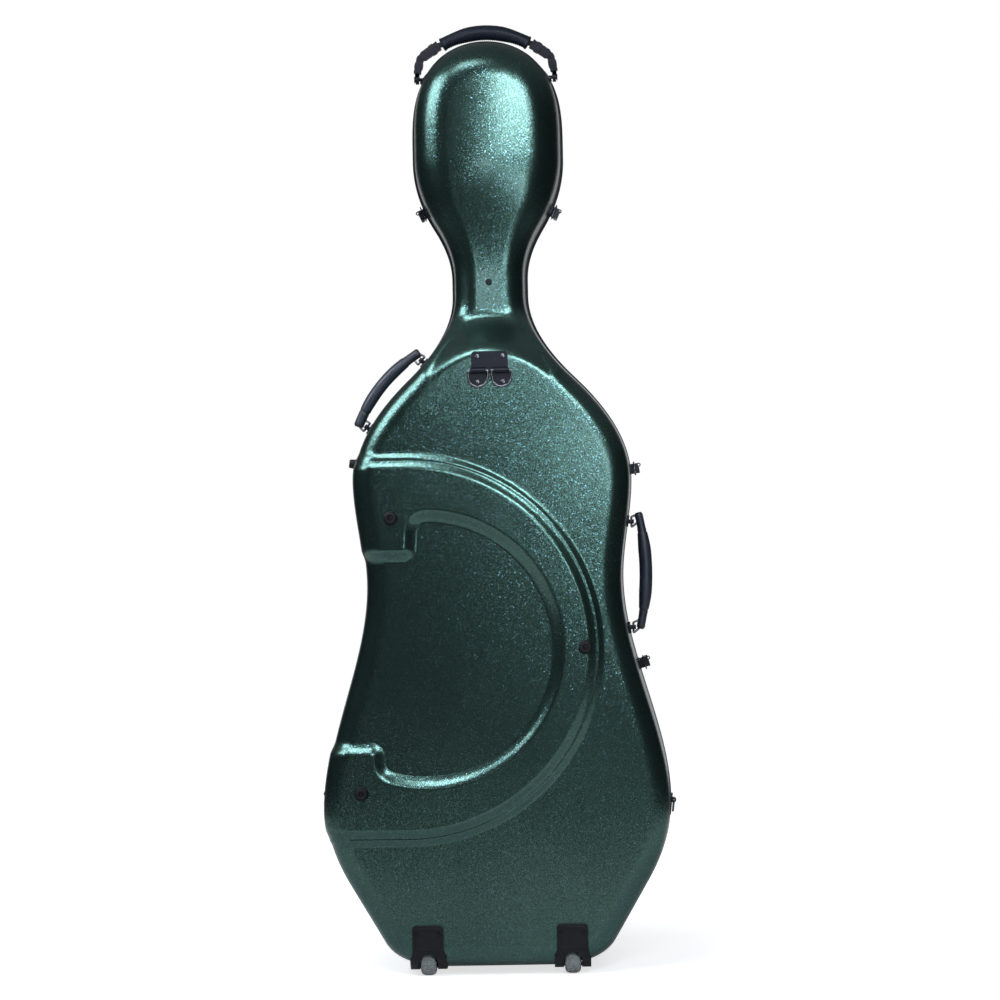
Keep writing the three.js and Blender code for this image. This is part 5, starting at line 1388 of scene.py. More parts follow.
# Feet on the back and on the left wall: name, place and reach; the back's reach to one plane
BACK_FEET = (("upper", -139.5, 623.5), ("middle", 124.0, 442.5), ("lower", -186.0, 246.5))
BACK_FEET_PLANE = 165.0
SIDE_FEET = (("upper", 698.5, 12.5), ("lower", 261.5, 6.4))
BOTTOM_FOOT_X, BOTTOM_FOOT_DEPTH, BOTTOM_FOOT_RADIUS = 56.0, 76.0, 11.0


class CELLOCASE_OT_feet(bpy.types.Operator):
    """Rubber feet on the back, the left side and the lid's lower edge, each with its screw"""

    bl_idname = "cello_case.feet"
    bl_label = "Feet"

    def execute(self, context):
        places = []
        for name, x, height in BACK_FEET:
            x, seat, z = back_seat(x, height)
            reach = BACK_FEET_PLANE + seat - 8.0 - 0.8 + 1.2
            place = at(x, reach - BACK_FEET_PLANE, z) @ FACING_BACK
            places.append((f"back_foot_{name}", "case_base", 9.6, reach, place))
        sunk = 1.4
        for name, height, reach in SIDE_FEET:
            place = wall_frame(LEFT, height, HANDLE_DEPTH, -1) @ moved(-sunk, 0, 0) @ FACING_SIDE
            places.append((f"side_foot_{name}", "case_base", 7.8, reach + sunk, place))
        seat = SHELL_FOOT + DRAFT * (BOTTOM_FOOT_DEPTH - BOTTOM_FOOT_RADIUS) - FIT_GAP + 0.8
        for name, side in SIDES.items():
            place = at(side * BOTTOM_FOOT_X, BOTTOM_FOOT_DEPTH, seat) @ Matrix.Rotation(math.pi, 4, "X")
            places.append((f"bottom_foot_{name}", "lid", BOTTOM_FOOT_RADIUS, seat, place))
        for name, body, radius, reach, place in places:
            settle(foot_body(radius, reach), name + "_rubber", black_rubber(), body, name, place)
            screw = turn(cross_head(3.4), moved(0, 0, reach - 1.7))
            settle(screw, name + "_screw", black_metal(), body, place=place)
        return {"FINISHED"}


# D-rings

def ring_loop(half, drop):
    """A D-ring in the plane y = 0, whose straight bar lies along X and whose loop hangs down."""
    radius = 1.5
    loop = spline([
        (-half, 0, 0.0), (-half, 0, -drop * 0.35), (-half * 0.78, 0, -drop * 0.78), (0, 0, -drop),
        (half * 0.78, 0, -drop * 0.78), (half, 0, -drop * 0.35), (half, 0, 0.0),
    ], 9)
    bar = x_rod(0, 0, 0, half + radius, radius, 20)
    return round_edges(unite(wire(loop, radius, 20, 1), bar), 0.25, 2, 40)


def knuckle(x, length, radius, rise):
    """A barrel along X that runs out into the plate behind it."""
    hump = rod((x - length / 2, 0, 0), (x + length / 2, 0, 0), radius, 40)
    return unite(hump, block((x - length / 2, 0, -radius), (x + length / 2, rise, radius)))


STRAP_HOLES_X, STRAP_HOLES_Z = 17.5, (4.5, -30.5)
STRAP_PIN_Y, STRAP_PIN_Z = -4.7, -15.0
SIDE_PIN_Y, SIDE_PIN_Z, SIDE_HOLE_Z = -4.4, 6.0, -9.5
STRAP_PLATE_HEIGHT = 838.0
SIDE_RING_HEIGHTS = {LEFT: 233.5, RIGHT: 217.5}


def strap_plate():
    """Plate with two round feet, a folded lower edge and two knuckles for the rings' pin."""
    back, front = 0.6, -2.6
    plate = slab(rounded(50.0, 23.0, 5.0), front, back)
    plate = unite(plate, slab(rounded(50.0, 26.0, 2.5, (0.0, -13.0)), front, back))
    for side in (-1, 1):
        angle = 2 * math.pi * np.arange(48) / 48
        across = side * STRAP_HOLES_X + 12.5 * np.cos(angle)
        plate = unite(plate, slab(np.column_stack([across, -26.0 + 12.5 * np.sin(angle)]), front, back))
    fold = rod((-24.6, front + 0.15, -9.9), (24.6, front + 0.15, -9.9), 0.75, 20)
    plate = unite(plate, fold)
    for side in (-1, 1):
        barrel = knuckle(side * 15.8, 22.0, 3.9, 3.9)
        plate = unite(plate, turn(barrel, moved(0, STRAP_PIN_Y, STRAP_PIN_Z)))
    plate = cut(plate, x_rod(0, STRAP_PIN_Y, STRAP_PIN_Z, 40, 1.9, 24))
    for side in (-1, 1):
        for z in STRAP_HOLES_Z:
            x = side * STRAP_HOLES_X
            plate = cut(plate, rod((x, front - 3, z), (x, front + 1.2, z), 3.4, 32))
    slot = slab(rounded(2.0, 9.0, 0.95, (0.0, -22.5), 4), front - 1, back + 1)
    return round_edges(cut(plate, slot), sizes().edge_softness)


class CELLOCASE_OT_rings(bpy.types.Operator):
    """Strap bracket high on the back, the plates low on the sides, and their D-rings"""

    bl_idname = "cello_case.rings"
    bl_label = "Strap rings"

    def execute(self, context):
        x, seat, z = back_seat(0.0, STRAP_PLATE_HEIGHT)
        settle(strap_plate(), "strap_plate", black_metal(), "case_base", "strap_bracket", at(x, seat, z))
        spots = [(side * STRAP_HOLES_X, up) for up in STRAP_HOLES_Z for side in (-1, 1)]
        for k, (across, up) in enumerate(spots):
            screw = turn(cross_head(3.1), FACING_BACK)
            settle(screw, f"strap_screw_{k + 1}", bright_wire(), "case_base",
                   place=at(across, seat - 2.1, z + up))
        for name, side in SIDES.items():
            ring = f"strap_ring_{name}"
            settle(ring_loop(13.2, 22.0), f"strap_d_ring_{name}", bright_wire(), ring, ring,
                   at(side * 16.2, seat + STRAP_PIN_Y, z + STRAP_PIN_Z))
            place = wall_frame(side, SIDE_RING_HEIGHTS[side], HANDLE_DEPTH, -1) @ TOWARDS_WALL
            pin = moved(0, SIDE_PIN_Y, SIDE_PIN_Z)
            plate = slab(rounded(18.0, 30.0, 4.0), -2.1, 0.8)
            plate = unite(plate, turn(knuckle(0.0, 18.0, 3.2, 3.4), pin))
            plate = cut(plate, x_rod(0, SIDE_PIN_Y, SIDE_PIN_Z, 20, 1.9, 24))
            plate = cut(plate, rod((0, -6, SIDE_HOLE_Z), (0, -1.2, SIDE_HOLE_Z), 3.0, 32))
            plate = round_edges(plate, sizes().edge_softness)
            settle(plate, f"ring_plate_{name}", black_metal(), "case_base", f"lower_ring_plate_{name}",
                   place)
            screw = turn(turn(cross_head(2.8), FACING_BACK), moved(0, -1.6, SIDE_HOLE_Z))
            settle(screw, f"ring_plate_screw_{name}", black_metal(), "case_base", place=place)
            ring = f"lower_ring_{name}"
            settle(ring_loop(11.0, 15.5), f"side_d_ring_{name}", bright_wire(), ring, ring, place @ pin)
        return {"FINISHED"}


# Hinges

LEAF_WIDTH = 16.0
LEAF_SCREW_Y, LEAF_SCREWS_Z = 9.5, (-11.0, 11.0)
HINGE_MIDDLE, HINGE_PLAY = 8.0, 0.35


def hinge_leaf(facing):
    """A flat leaf that follows the wall's draft, with its edge on the pin's line."""
    inner, drop = FIT_GAP - 2.4, DRAFT * LEAF_WIDTH
    outer = FIT_GAP - 1.6 + 2.0
    far = facing * LEAF_WIDTH
    section = np.array([(inner, 0.0), (inner - drop, far), (outer - drop, far), (outer, 0.0)])
    return loft([np.column_stack([section, np.full(4, z)]) for z in (-HINGE_HALF, HINGE_HALF)])


def z_rod(low, high, radius):
    return rod((0, 0, low), (0, 0, high), radius, 32)


class CELLOCASE_OT_hinges(bpy.types.Operator):
    """Two hinges on the left side, each with a leaf on both shells"""

    bl_idname = "cello_case.hinges"
    bl_label = "Hinges"

    def execute(self, context):
        half, middle, edge = HINGE_HALF, HINGE_MIDDLE, HINGE_MIDDLE + HINGE_PLAY
        clear = HINGE_RADIUS + HINGE_PLAY
        for name, height in HINGES.items():
            point, along = hinge_point(height)
            out = Vector((-along.z, 0, along.x))
            depth = Vector((0, 1, 0))
            place = basis(out, depth, out.cross(depth), point)
            lid = cut(hinge_leaf(1), z_rod(-half - 1, -middle, clear), z_rod(middle, half + 1, clear))
            lid = cut(unite(lid, z_rod(-middle, middle, HINGE_RADIUS)), z_rod(-half, half, 1.95))
            base = cut(hinge_leaf(-1), z_rod(-edge, edge, clear))
            base = unite(base, z_rod(-half, -edge, HINGE_RADIUS), z_rod(edge, half, HINGE_RADIUS))
            base = unite(base, z_rod(-half, half, 1.6))
            leaves = (lid, "lid", 1, "lid_leaf"), (base, "case_base", -1, "base_leaf")
            for piece, body, facing, leaf in leaves:
                tag = f"hinge_{name}_{body}"
                piece = round_edges(piece, sizes().edge_softness)
                settle(piece, tag, black_metal(), body, f"hinge_{name}_{leaf}", place)
                for k, z in enumerate(LEAF_SCREWS_Z):
                    seat = moved(0.75 - DRAFT * LEAF_SCREW_Y, facing * LEAF_SCREW_Y, z)
                    screw = turn(turn(cross_head(2.6), FACING_SIDE), seat)
                    settle(screw, f"{tag}_screw_{k + 1}", grey_metal(), body, place=place)
        return {"FINISHED"}


# Draw latches, in a frame with X out of the wall, Y towards the lid and Z along the seam

# The lever's pivot, the bail's pivot on the lever, and the thickness of the bail's wire
PIVOT = (5.5, 14.0)
BAIL = (8.0, 20.5)
BAIL_RADIUS = 0.9
LATCH_HALF = 7.2
PLATE_SCREW_Y, KEEPER_SCREW_Y = 29.0, -17.5


def latch_rod(x, y, low, high, radius, sides=24):
    return rod((x, y, low), (x, y, high), radius, sides)


def latch_plate(up):
    """Plate on the lid with two ears for the lever's pin and a standing lug with an eye."""
    half = LATCH_HALF
    body = block((-0.8, 4.0, -half), (2.5, 34.0, half))
    body = unite(body, block((-0.8, 4.0, -half), (14.0, 5.6, half)))
    for side in (-1, 1):
        low, high = sorted((side * 5.4, side * 6.8))
        body = unite(body, block((0.5, 4.0, low), (8.0, 17.4, high)))
    eye = up * 4.4
    body = unite(body, rod((14.0, 4.0, eye), (14.0, 5.6, eye), 2.8, 32))
    body = cut(body, rod((14.0, 3.0, eye), (14.0, 7.0, eye), 1.3, 24))
    body = round_edges(body, 0.3)
    return unite(body, latch_rod(*PIVOT, -6.8, 6.8, 1.4))


def latch_lever():
    """Lever with a barrel on its pin, two eyes for the bail, a thumb recess and a rolled end."""
    half, outer = LATCH_HALF, 11.6
    body = latch_rod(*PIVOT, -5.0, 5.0, 3.0, 32)
    body = unite(body, block((PIVOT[0], 12.2, -5.0), (outer, 15.8, 5.0)))
    body = unite(body, block((10.0, 12.2, -5.0), (outer, 36.0, 5.0)))
    body = unite(body, block((10.0, 18.4, -half), (outer, 36.0, half)))
    body = unite(body, latch_rod(12.6, 36.0, -half, half, 2.6, 32))
    for side in (-1, 1):
        low, high = sorted((side * half, side * 6.0))
        body = unite(body, latch_rod(*BAIL, low, high, 2.0))
        body = unite(body, block((BAIL[0], BAIL[1] - 2, low), (outer, BAIL[1] + 2, high)))
    body = cut(body, latch_rod(*PIVOT, -8, 8, 1.8), latch_rod(*BAIL, -9, 9, 1.3))
    thumb = block((11.2, 24.0, -4.4), (12.2, 30.0, 4.4))
    return round_edges(cut(body, thumb), 0.3)


def latch_bail():
    """The wire that runs from the lever round the keeper's hook and back."""
    half_loop = [
        (*BAIL, -5.6), (*BAIL, -8.1), (7.95, 19.7, -8.8), (7.2, 4.2, -8.8), (6.45, -11.3, -8.8),
        (6.4, -12.0, -8.1),
    ]
    path = np.array(half_loop + [(x, y, -z) for x, y, z in reversed(half_loop)])
    rings = []
    for k, point in enumerate(path):
        run = path[min(k + 1, len(path) - 1)] - path[max(k - 1, 0)]
        run /= np.linalg.norm(run)
        across = np.cross(run, (1.0, 0.05, 0.0))
        across /= np.linalg.norm(across)
        out = np.cross(across, run)
        rings.append(point + round_section(BAIL_RADIUS, 16) @ np.array([across, out]))
    return loft(rings)


def latch_keeper():
    """Plate on the back shell with the hook that holds the bail."""
    body = block((-0.8, -24.0, -6.0), (2.1, -5.0, 6.0))
    body = unite(body, block((0.5, -8.6, -6.0), (4.2, -6.8, 6.0)))
    body = unite(body, block((3.3, -9.5, -6.0), (4.2, -6.8, 6.0)))
    body = cut(body, rod((-2, KEEPER_SCREW_Y, 0), (1.2, KEEPER_SCREW_Y, 0), 0.5, 8))
    return round_edges(body, 0.3)


class CELLOCASE_OT_latches(bpy.types.Operator):
    """Four draw latches: plate, lever, wire bail and keeper"""

    bl_idname = "cello_case.latches"
    bl_label = "Latches"

    def execute(self, context):
        plates = {side: latch_plate(side) for side in (LEFT, RIGHT)}
        lever, bail, keeper = latch_lever(), latch_bail(), latch_keeper()
        screw = turn(cross_head(2.4), FACING_SIDE)
        for name, height in LATCHES.items():
            side = LEFT if name.startswith("left") else RIGHT
            place, low_place = latch_frame(side, height, 1), latch_frame(side, height, -1)
            for part, tag, finish, body, where in (
                (plates[side], "plate", black_metal(), "lid", place),
                (lever, "lever", grey_metal(), f"lever_{name}", place),
                (bail, "bail", bright_wire(), f"bail_{name}", place),
                (keeper, "keeper", black_metal(), "case_base", low_place),
            ):
                settle(twin(part), f"{tag}_{name}", finish, body, f"latch_{tag}_{name}", where)
            low_screw = turn(twin(screw), moved(2.2, KEEPER_SCREW_Y, 0))
            settle(low_screw, f"keeper_screw_{name}", grey_metal(), "case_base", place=low_place)
            high_screw = turn(twin(screw), moved(2.6, PLATE_SCREW_Y, 0))
            settle(high_screw, f"plate_screw_{name}", grey_metal(), "lid", place=place)
        for piece in (*plates.values(), lever, bail, keeper, screw):
            bpy.data.objects.remove(piece)
        return {"FINISHED"}


# Carrying handles on the sides

PIN_OUT, GRIP_OUT = 6.2, 9.6
SLEEVE = 0.17
GRIP_SIDES = 32
GRIP_OVAL = 1.15
STITCH_SHARES = (0.03, SLEEVE - 0.025, 1.025 - SLEEVE, 0.97)

def handle_frame(side, low, high):
    """The walls' frames at a handle's two anchors, the frame between them, and half the distance."""
    ends = [wall_frame(side, height, HANDLE_DEPTH, -1) for height in (low, high)]
    first, last = (end @ Vector((PIN_OUT, 0, 0)) for end in ends)
    along = (last - first).normalized()
    out = Vector((side * along.z, 0, -side * along.x))
    place = basis(out, along.cross(out), along, (first + last) / 2)
    return ends, place, (last - first).length / 2


def grip_radius(share, middle, end):
    return blend(end, middle, smooth(np.minimum(share, 1 - share), 0.1, 0.34))


def side_grip_path(slip, bulge, half):
    """The grip's middle line: it reaches past both anchors and bows outwards."""
    share = np.linspace(-1, 1, 97)
    out = GRIP_OUT + bulge * (1 - share**2)
    return np.column_stack([out, np.zeros(len(share)), slip + share * (half + 7.6)])


def side_grip(path, middle, end, ribbed):
    """Padded leather tube: a swelling middle between two bound sleeves, drawn in at its ends."""
    share = run_of(path) / run_of(path)[-1]
    edge = np.minimum(share, 1 - share)
    radius = grip_radius(share, middle, end)
    radius = radius * blend(0.62, 1.0, smooth(edge, -0.004, 0.016))
    radius = radius - 0.55 * (1 - smooth(edge, SLEEVE - 0.012, SLEEVE + 0.012))
    radius = radius - 0.5 * np.exp(-(((edge - SLEEVE) / 0.006) ** 2))
    if ribbed:
        bound = 1 - smooth(edge, SLEEVE - 0.02, SLEEVE)
        radius = radius + 0.35 * bound * np.sin(share * 2 * math.pi * 95)
    angle = half_steps(GRIP_SIDES)
    seam = 1 + 0.045 * np.exp(-(((np.cos(angle) + 1) / 0.02) ** 2))
    sections = [
        np.column_stack([r * np.cos(angle) * seam, r * GRIP_OVAL * np.sin(angle)]) for r in radius
    ]
    return loft(path_rings(path, (0, 1, 0), sections))


def stitch_ring(path, middle, end, share):
    """Separate stitches standing proud of a grip, round its section at one place."""
    count = 20
    run = run_of(path) / run_of(path)[-1]
    centre = np.array([np.interp(share, run, path[:, k]) for k in range(3)])
    ahead = np.array([np.interp(share + 0.01, run, path[:, k]) for k in range(3)]) - centre
    ahead /= np.linalg.norm(ahead)
    normal = np.array((0.0, 1.0, 0.0))
    across = np.cross(normal, ahead)
    radius = float(grip_radius(np.array(share), middle, end)) - 0.25
    stitches = []
    for k in range(count):
        turn_by = 2 * math.pi * (k + np.linspace(0.15, 0.85, 5)) / count
        lift = radius + 0.25 * np.sin(np.linspace(0, math.pi, 5))
        places = centre + np.outer(lift * np.cos(turn_by), across)
        places = places + np.outer(lift * GRIP_OVAL * np.sin(turn_by), normal)
        rings = []
        for place in places:
            out = place - centre
            out /= np.linalg.norm(out)
            rings.append(place + round_section(0.3, 6) @ np.array([out, ahead]))
        stitches.append(loft(rings))
    return gathered(stitches)


def gathered(parts):
    deselect()
    for part in parts:
        part.select_set(True)
    bpy.context.view_layer.objects.active = parts[0]
    if len(parts) > 1:
        bpy.ops.object.join()
    return parts[0]


def handle_loop(z, slip):
    """The wire from the grip's end through the anchor's eye and back."""
    points = [
        (GRIP_OUT, 0, z + slip + 5.4), (1.4, 0, z + 7.0), (0, 0, z + 5.6), (0, 0, z + 4.2),
        (0, 0, z - 4.2), (0, 0, z - 5.6), (1.4, 0, z - 7.0), (GRIP_OUT, 0, z + slip - 5.4),
    ]
    return wire(points, 1.6, 18, 10)


def handle_anchor(wall, place, z):
    """Plate on the wall with an eye for the wire loop, modelled in the handle's frame."""
    back = place.inverted() @ wall @ TOWARDS_WALL
    plate = turn(slab(rounded(18.0, 16.0, 4.0), -2.6, 1.2), back)
    eye = latch_rod(0, 0, z - 3.0, z + 3.0, 3.65, 36)
    saddle = block((-5.0, -3.65, z - 3.0), (0.0, 3.65, z + 3.0))
    body = unite(plate, eye, saddle)
    return round_edges(cut(body, latch_rod(0, 0, z - 6, z + 6, 2.05, 28)), sizes().edge_softness)


# Name, side, heights of the anchors, slip along the wall, bow, radii at the middle and ends, ribbed sleeves
SIDE_HANDLES = (
    ("shoulder", LEFT, 747.0, 838.0, 0.0, 11.5, 8.2, 7.2, True),
    ("waist", RIGHT, 464.0, 613.0, 5.0, 9.5, 8.8, 6.2, False),
)


class CELLOCASE_OT_side_handles(bpy.types.Operator):
    """Padded carrying handles on the left shoulder and the right side of the waist"""

    bl_idname = "cello_case.side_handles"
    bl_label = "Side handles"

    def execute(self, context):
        for name, side, low, high, slip, bulge, middle, end, ribbed in SIDE_HANDLES:
            walls, place, half = handle_frame(side, low, high)
            path = side_grip_path(slip, bulge, half)
            body = f"{name}_handle"
            grip = side_grip(path, middle, end, ribbed)
            settle(grip, f"{name}_grip", grip_leather(), body, body, place, smoothing=60)
            loops = gathered([handle_loop(z, slip) for z in (-half, half)])
            settle(loops, f"{name}_wire_loops", bright_wire(), body, place=place)
            rings = [stitch_ring(path, middle, end, share) for share in STITCH_SHARES]
            settle(gathered(rings), f"{name}_stitching", stitch_thread(), body, place=place)
            for tag, wall, z in (("low", walls[0], -half), ("high", walls[1], half)):
                plate = f"{name}_plate_{tag}"
                settle(handle_anchor(wall, place, z), plate, black_metal(), "case_base",
                       f"{name}_anchor_{tag}", place)
                for k, x in enumerate((-5.8, 5.8)):
                    screw = turn(turn(cross_head(2.1), FACING_BACK), moved(x, -2.65, 0))
                    settle(screw, f"{plate}_screw_{k + 1}", grey_metal(), "case_base",
                           place=wall @ TOWARDS_WALL)
        return {"FINISHED"}


# Top handle on its webbing

TOP_DEPTH = 38.0
TOP_ANCHOR = 1237.5
STRAP_X = 96.163
TOP_SPAN = 61.0
TOP_PIVOT_Z = SHELL_FOOT + TOP_ANCHOR


def top_grip_point(x):
    """A point of the grip's bowed middle line."""
    return (x, -TOP_DEPTH, SHELL_FOOT + 1301.6 - 16.0 * (x / TOP_SPAN) ** 2)


def strap_side(sign):
    """Points of the strap from the metal end on one side up to the grip."""
    z = TOP_PIVOT_Z
    return [
        (sign * STRAP_X, -TOP_DEPTH, z + 3.0), (sign * STRAP_X, -TOP_DEPTH, z + 8.5),
        (sign * (STRAP_X - 1.8), -TOP_DEPTH, z + 20.0), (sign * (STRAP_X - 4.6), -TOP_DEPTH, z + 29.5),
        (sign * (STRAP_X - 17.0), -TOP_DEPTH, z + 40.5), (sign * (STRAP_X - 31.0), -TOP_DEPTH, z + 47.6),
    ]


def boxy_section(flat, wide, corner=0.7, steps=3):
    """A strap's section: a rounded rectangle of (flat, wide) points."""
    return rounded(2 * flat, 2 * wide, corner, steps=steps)


def strap_band(path, flats, wide):
    """Webbing along a path, as thick at each point as `flats` says."""
    band = loft(path_rings(path, (0, 1, 0), [boxy_section(flat, wide) for flat in flats]))
    return note_run(band, path)


def folded_tail(side):
    """Path and thickness of the strap's doubled end: straight runs with a sharp fold between them."""
    run = strap_side(side)
    corners = np.array([run[1], run[3], run[5]])
    path = np.vstack([blend(a, b, np.linspace(0, 1, 24)[:, None]) for a, b in zip(corners, corners[1:])])
    path = np.delete(path, 24, axis=0)
    share = run_of(path) / run_of(path)[-1]
    return path, 5.0 + 1.6 * smooth(share, 0.44, 0.52) + 0.15 * np.sin(share * 40), share


def top_grip_piece():
    """Ribbed sleeve over the strap: fine ribs, smoother along its top, with a rolled lip at both ends."""
    path = np.array([top_grip_point(x) for x in np.linspace(-TOP_SPAN, TOP_SPAN, 241)])
    run = run_of(path)
    share = run / run[-1]
    edge = np.minimum(share, 1 - share)
    radius = grip_radius(share, 11.0, 9.4) - 0.3
    ribs = sizes().rib_height * (0.5 + 0.5 * np.cos(2 * math.pi * run / sizes().rib_spacing))
    ribs = ribs * smooth(edge, 0.02, 0.05)
    lip = 0.9 * np.exp(-(((edge - 0.012) / 0.010) ** 2))
    radius = radius * blend(0.86, 1.0, smooth(edge, -0.002, 0.012)) + lip
    angle = half_steps(40)
    under = smooth(-np.cos(angle), -0.35, 0.25)
    sections = []
    for r, rib in zip(radius, ribs):
        reach = r - rib * under
        sections.append(np.column_stack([-reach * np.cos(angle), reach * np.sin(angle)]))
    return loft(path_rings(path, (0, 1, 0), sections))


def wall_lug(side):
    """Plate on the head's wall with the stud that the strap turns on, modelled in the case's frame."""
    wall = wall_frame(side, TOP_ANCHOR, TOP_DEPTH, -1)
    plate = turn(slab(rounded(18.0, 16.0, 4.0), -2.6, 0.8), wall @ TOWARDS_WALL)
    foot = (wall @ Vector((1.6, 0, 0))).x
    y, z = -TOP_DEPTH + SEAM_Y, TOP_PIVOT_Z
    end = side * (STRAP_X + 2.4 + 0.4)
    stud = rod((foot, y, z), (end + side * 0.8, y, z), 2.5, 32)
    head = rod((end, y, z), (end + side * 1.6, y, z), 4.6, 40)
    return round_edges(unite(plate, stud, head), sizes().edge_softness)


class CELLOCASE_OT_top_handle(bpy.types.Operator):
    """Ribbed grip over the head, on folded webbing with metal ends that turn on two studs"""

    bl_idname = "cello_case.top_handle"
    bl_label = "Top handle"

    def execute(self, context):
        lift = moved(0, SEAM_Y, 0)
        body = "top_handle"
        weave = kept("webbing_weave", woven, tuple(finishes().webbing_colour))
        settle(top_grip_piece(), "ribbed_grip", grip_rubber(), body, "top_grip", lift, smoothing=50)
        inside = [top_grip_point(x) for x in np.linspace(-TOP_SPAN + 3, TOP_SPAN - 3, 13)]
        path = spline([*strap_side(-1), *inside, *strap_side(1)[::-1]], 6)
        band = strap_band(path, [3.2] * len(path), 6.2)
        settle(band, "webbing_strap", weave, body, "top_strap", lift, smoothing=45)
        y, z = -TOP_DEPTH, TOP_PIVOT_Z
        for name, side in SIDES.items():
            path, flats, share = folded_tail(side)
            tail = strap_band(path, flats, 6.9)
            settle(tail, f"folded_tail_{name}", weave, body, place=lift, smoothing=45)
            for k, middle in enumerate((0.20, 0.80)):
                chosen = abs(share - middle) < 0.08
                sections = [boxy_section(flat + 0.8, 7.9, 1.1) for flat in flats[chosen]]
                keeper = loft(path_rings(path[chosen], (0, 1, 0), sections))
                keeper = round_edges(note_run(keeper, path[chosen]), 0.3)
                settle(keeper, f"webbing_keeper_{name}_{k + 1}", weave, body, place=lift, smoothing=45)
            low, high = sorted((side * STRAP_X - 2.3, side * STRAP_X + 2.3))
            eye = rod((low, y, z), (high, y, z), 6.6, 40)
            eye = unite(eye, block((low, y - 6.2, z), (high, y + 6.2, z + 10.0)))
            eye = cut(eye, rod((low - 3, y, z), (high + 3, y, z), 3.0, 32))
            settle(round_edges(eye, 0.5, 3), f"strap_end_{name}", black_metal(), body, place=lift)
            settle(wall_lug(side), f"wall_lug_{name}", black_metal(), "case_base", f"top_anchor_{name}")
        return {"FINISHED"}


class CELLOCASE_OT_neck_screw(bpy.types.Operator):
    """Screw through the back of the neck into the cradle"""

    bl_idname = "cello_case.neck_screw"
    bl_label = "Neck screw"

    def execute(self, context):
        screw = turned([
            (0.6, -24.0), (2.0, -23.2), (2.2, -22.6), (2.2, 0.3), (4.2, 0.3), (4.7, 0.6), (4.7, 1.0),
            (4.3, 1.5), (3.2, 1.8), (1.2, 1.8),
        ], 40)
        for low, high in (((-2.6, -0.5), (2.6, 0.5)), ((-0.5, -2.6), (0.5, 2.6))):
            screw = cut(screw, block((*low, 0.7), (*high, 3.0)))
        place = at(0, -BACK_NECK, NECK_SCREW_Z) @ FACING_BACK
        settle(round_edges(screw, 0.12), "neck_screw_head", black_metal(), "case_base", "neck_screw", place)
        return {"FINISHED"}


# Inside: plush linings, the cradle for the neck and the block for the end pin

def lining_tray(depth_at, facing):
    """A tray that lies inside a shell, with the lining's thickness."""
    piece = tray("part", depth_at, facing, 30, 16.0, skin=WALL + FIT_GAP, rim=4.0, edge_rings=6)
    apply_modifier(piece, "SOLIDIFY", thickness=LINING_THICKNESS, offset=-1, use_even_offset=True)
    return round_edges(piece, 1.4, 3, 50)


def swollen(piece):
    """Lets a pad of foam swell as cloth under pressure, within a set distance of its cut shape."""
    apply_modifier(piece, "REMESH", mode="VOXEL", voxel_size=4.0)
    turn(piece, Matrix.Scale(MM, 4))
    start = coordinates(piece.data)
    only(piece)
    cloth = piece.modifiers.new("Cloth", "CLOTH")
    cloth.settings.use_pressure = True
    cloth.settings.uniform_pressure_force = 4.0
    cloth.settings.effector_weights.gravity = 0
    scene = bpy.context.scene
    for number in range(1, 21):
        scene.frame_set(number)
    bpy.ops.object.modifier_apply(modifier=cloth.name)
    scene.frame_set(1)
    place = coordinates(piece.data)
    shift = place - start
    reach = np.linalg.norm(shift, axis=1)[:, None]
    limit = sizes().padding * MM
    place = start + shift * np.minimum(1, limit / np.maximum(reach, 1e-9))
    set_coordinates(piece.data, place / MM)
    return piece


def padded_space():
    """The room that the pads are cut to, a little smaller than the lining leaves, because they swell."""
    skin = WALL + FIT_GAP + LINING_THICKNESS + 0.5 + 2.0
    return filled(tray("part", back_depth, -1, 20, 20.0, skin=skin, rim=0.0, edge_rings=4))


class CELLOCASE_OT_linings(bpy.types.Operator):
    """Plush linings of both shells"""

    bl_idname = "cello_case.linings"
    bl_label = "Linings"

    def execute(self, context):
        base = lining_tray(back_depth, -1)
        near, far = WALL + 0.8, WALL + 3.8
        skin = WALL + FIT_GAP + 1.0
        for side in (LEFT, RIGHT):
            cover = cut(well(side, far), well(side, near))
            space = filled(tray("part", back_depth, -1, 24, 12.0, skin=skin, rim=4.0))
            base = unite(cut(base, well(side, near)), overlap(cover, space))
        base = cut(base, neck_bore(70, 2.9))
        settle(base, "back_plush", lining_plush(), "case_base", "base_lining")
        lid = lining_tray(lid_depth, 1)
        settle(lid, "front_plush", lining_plush(), "lid", "lid_lining")
        return {"FINISHED"}


CRADLE_HEIGHT = 914.0
END_BLOCK_HEIGHT = 48.0
SOCKET_DEPTH = 78.0


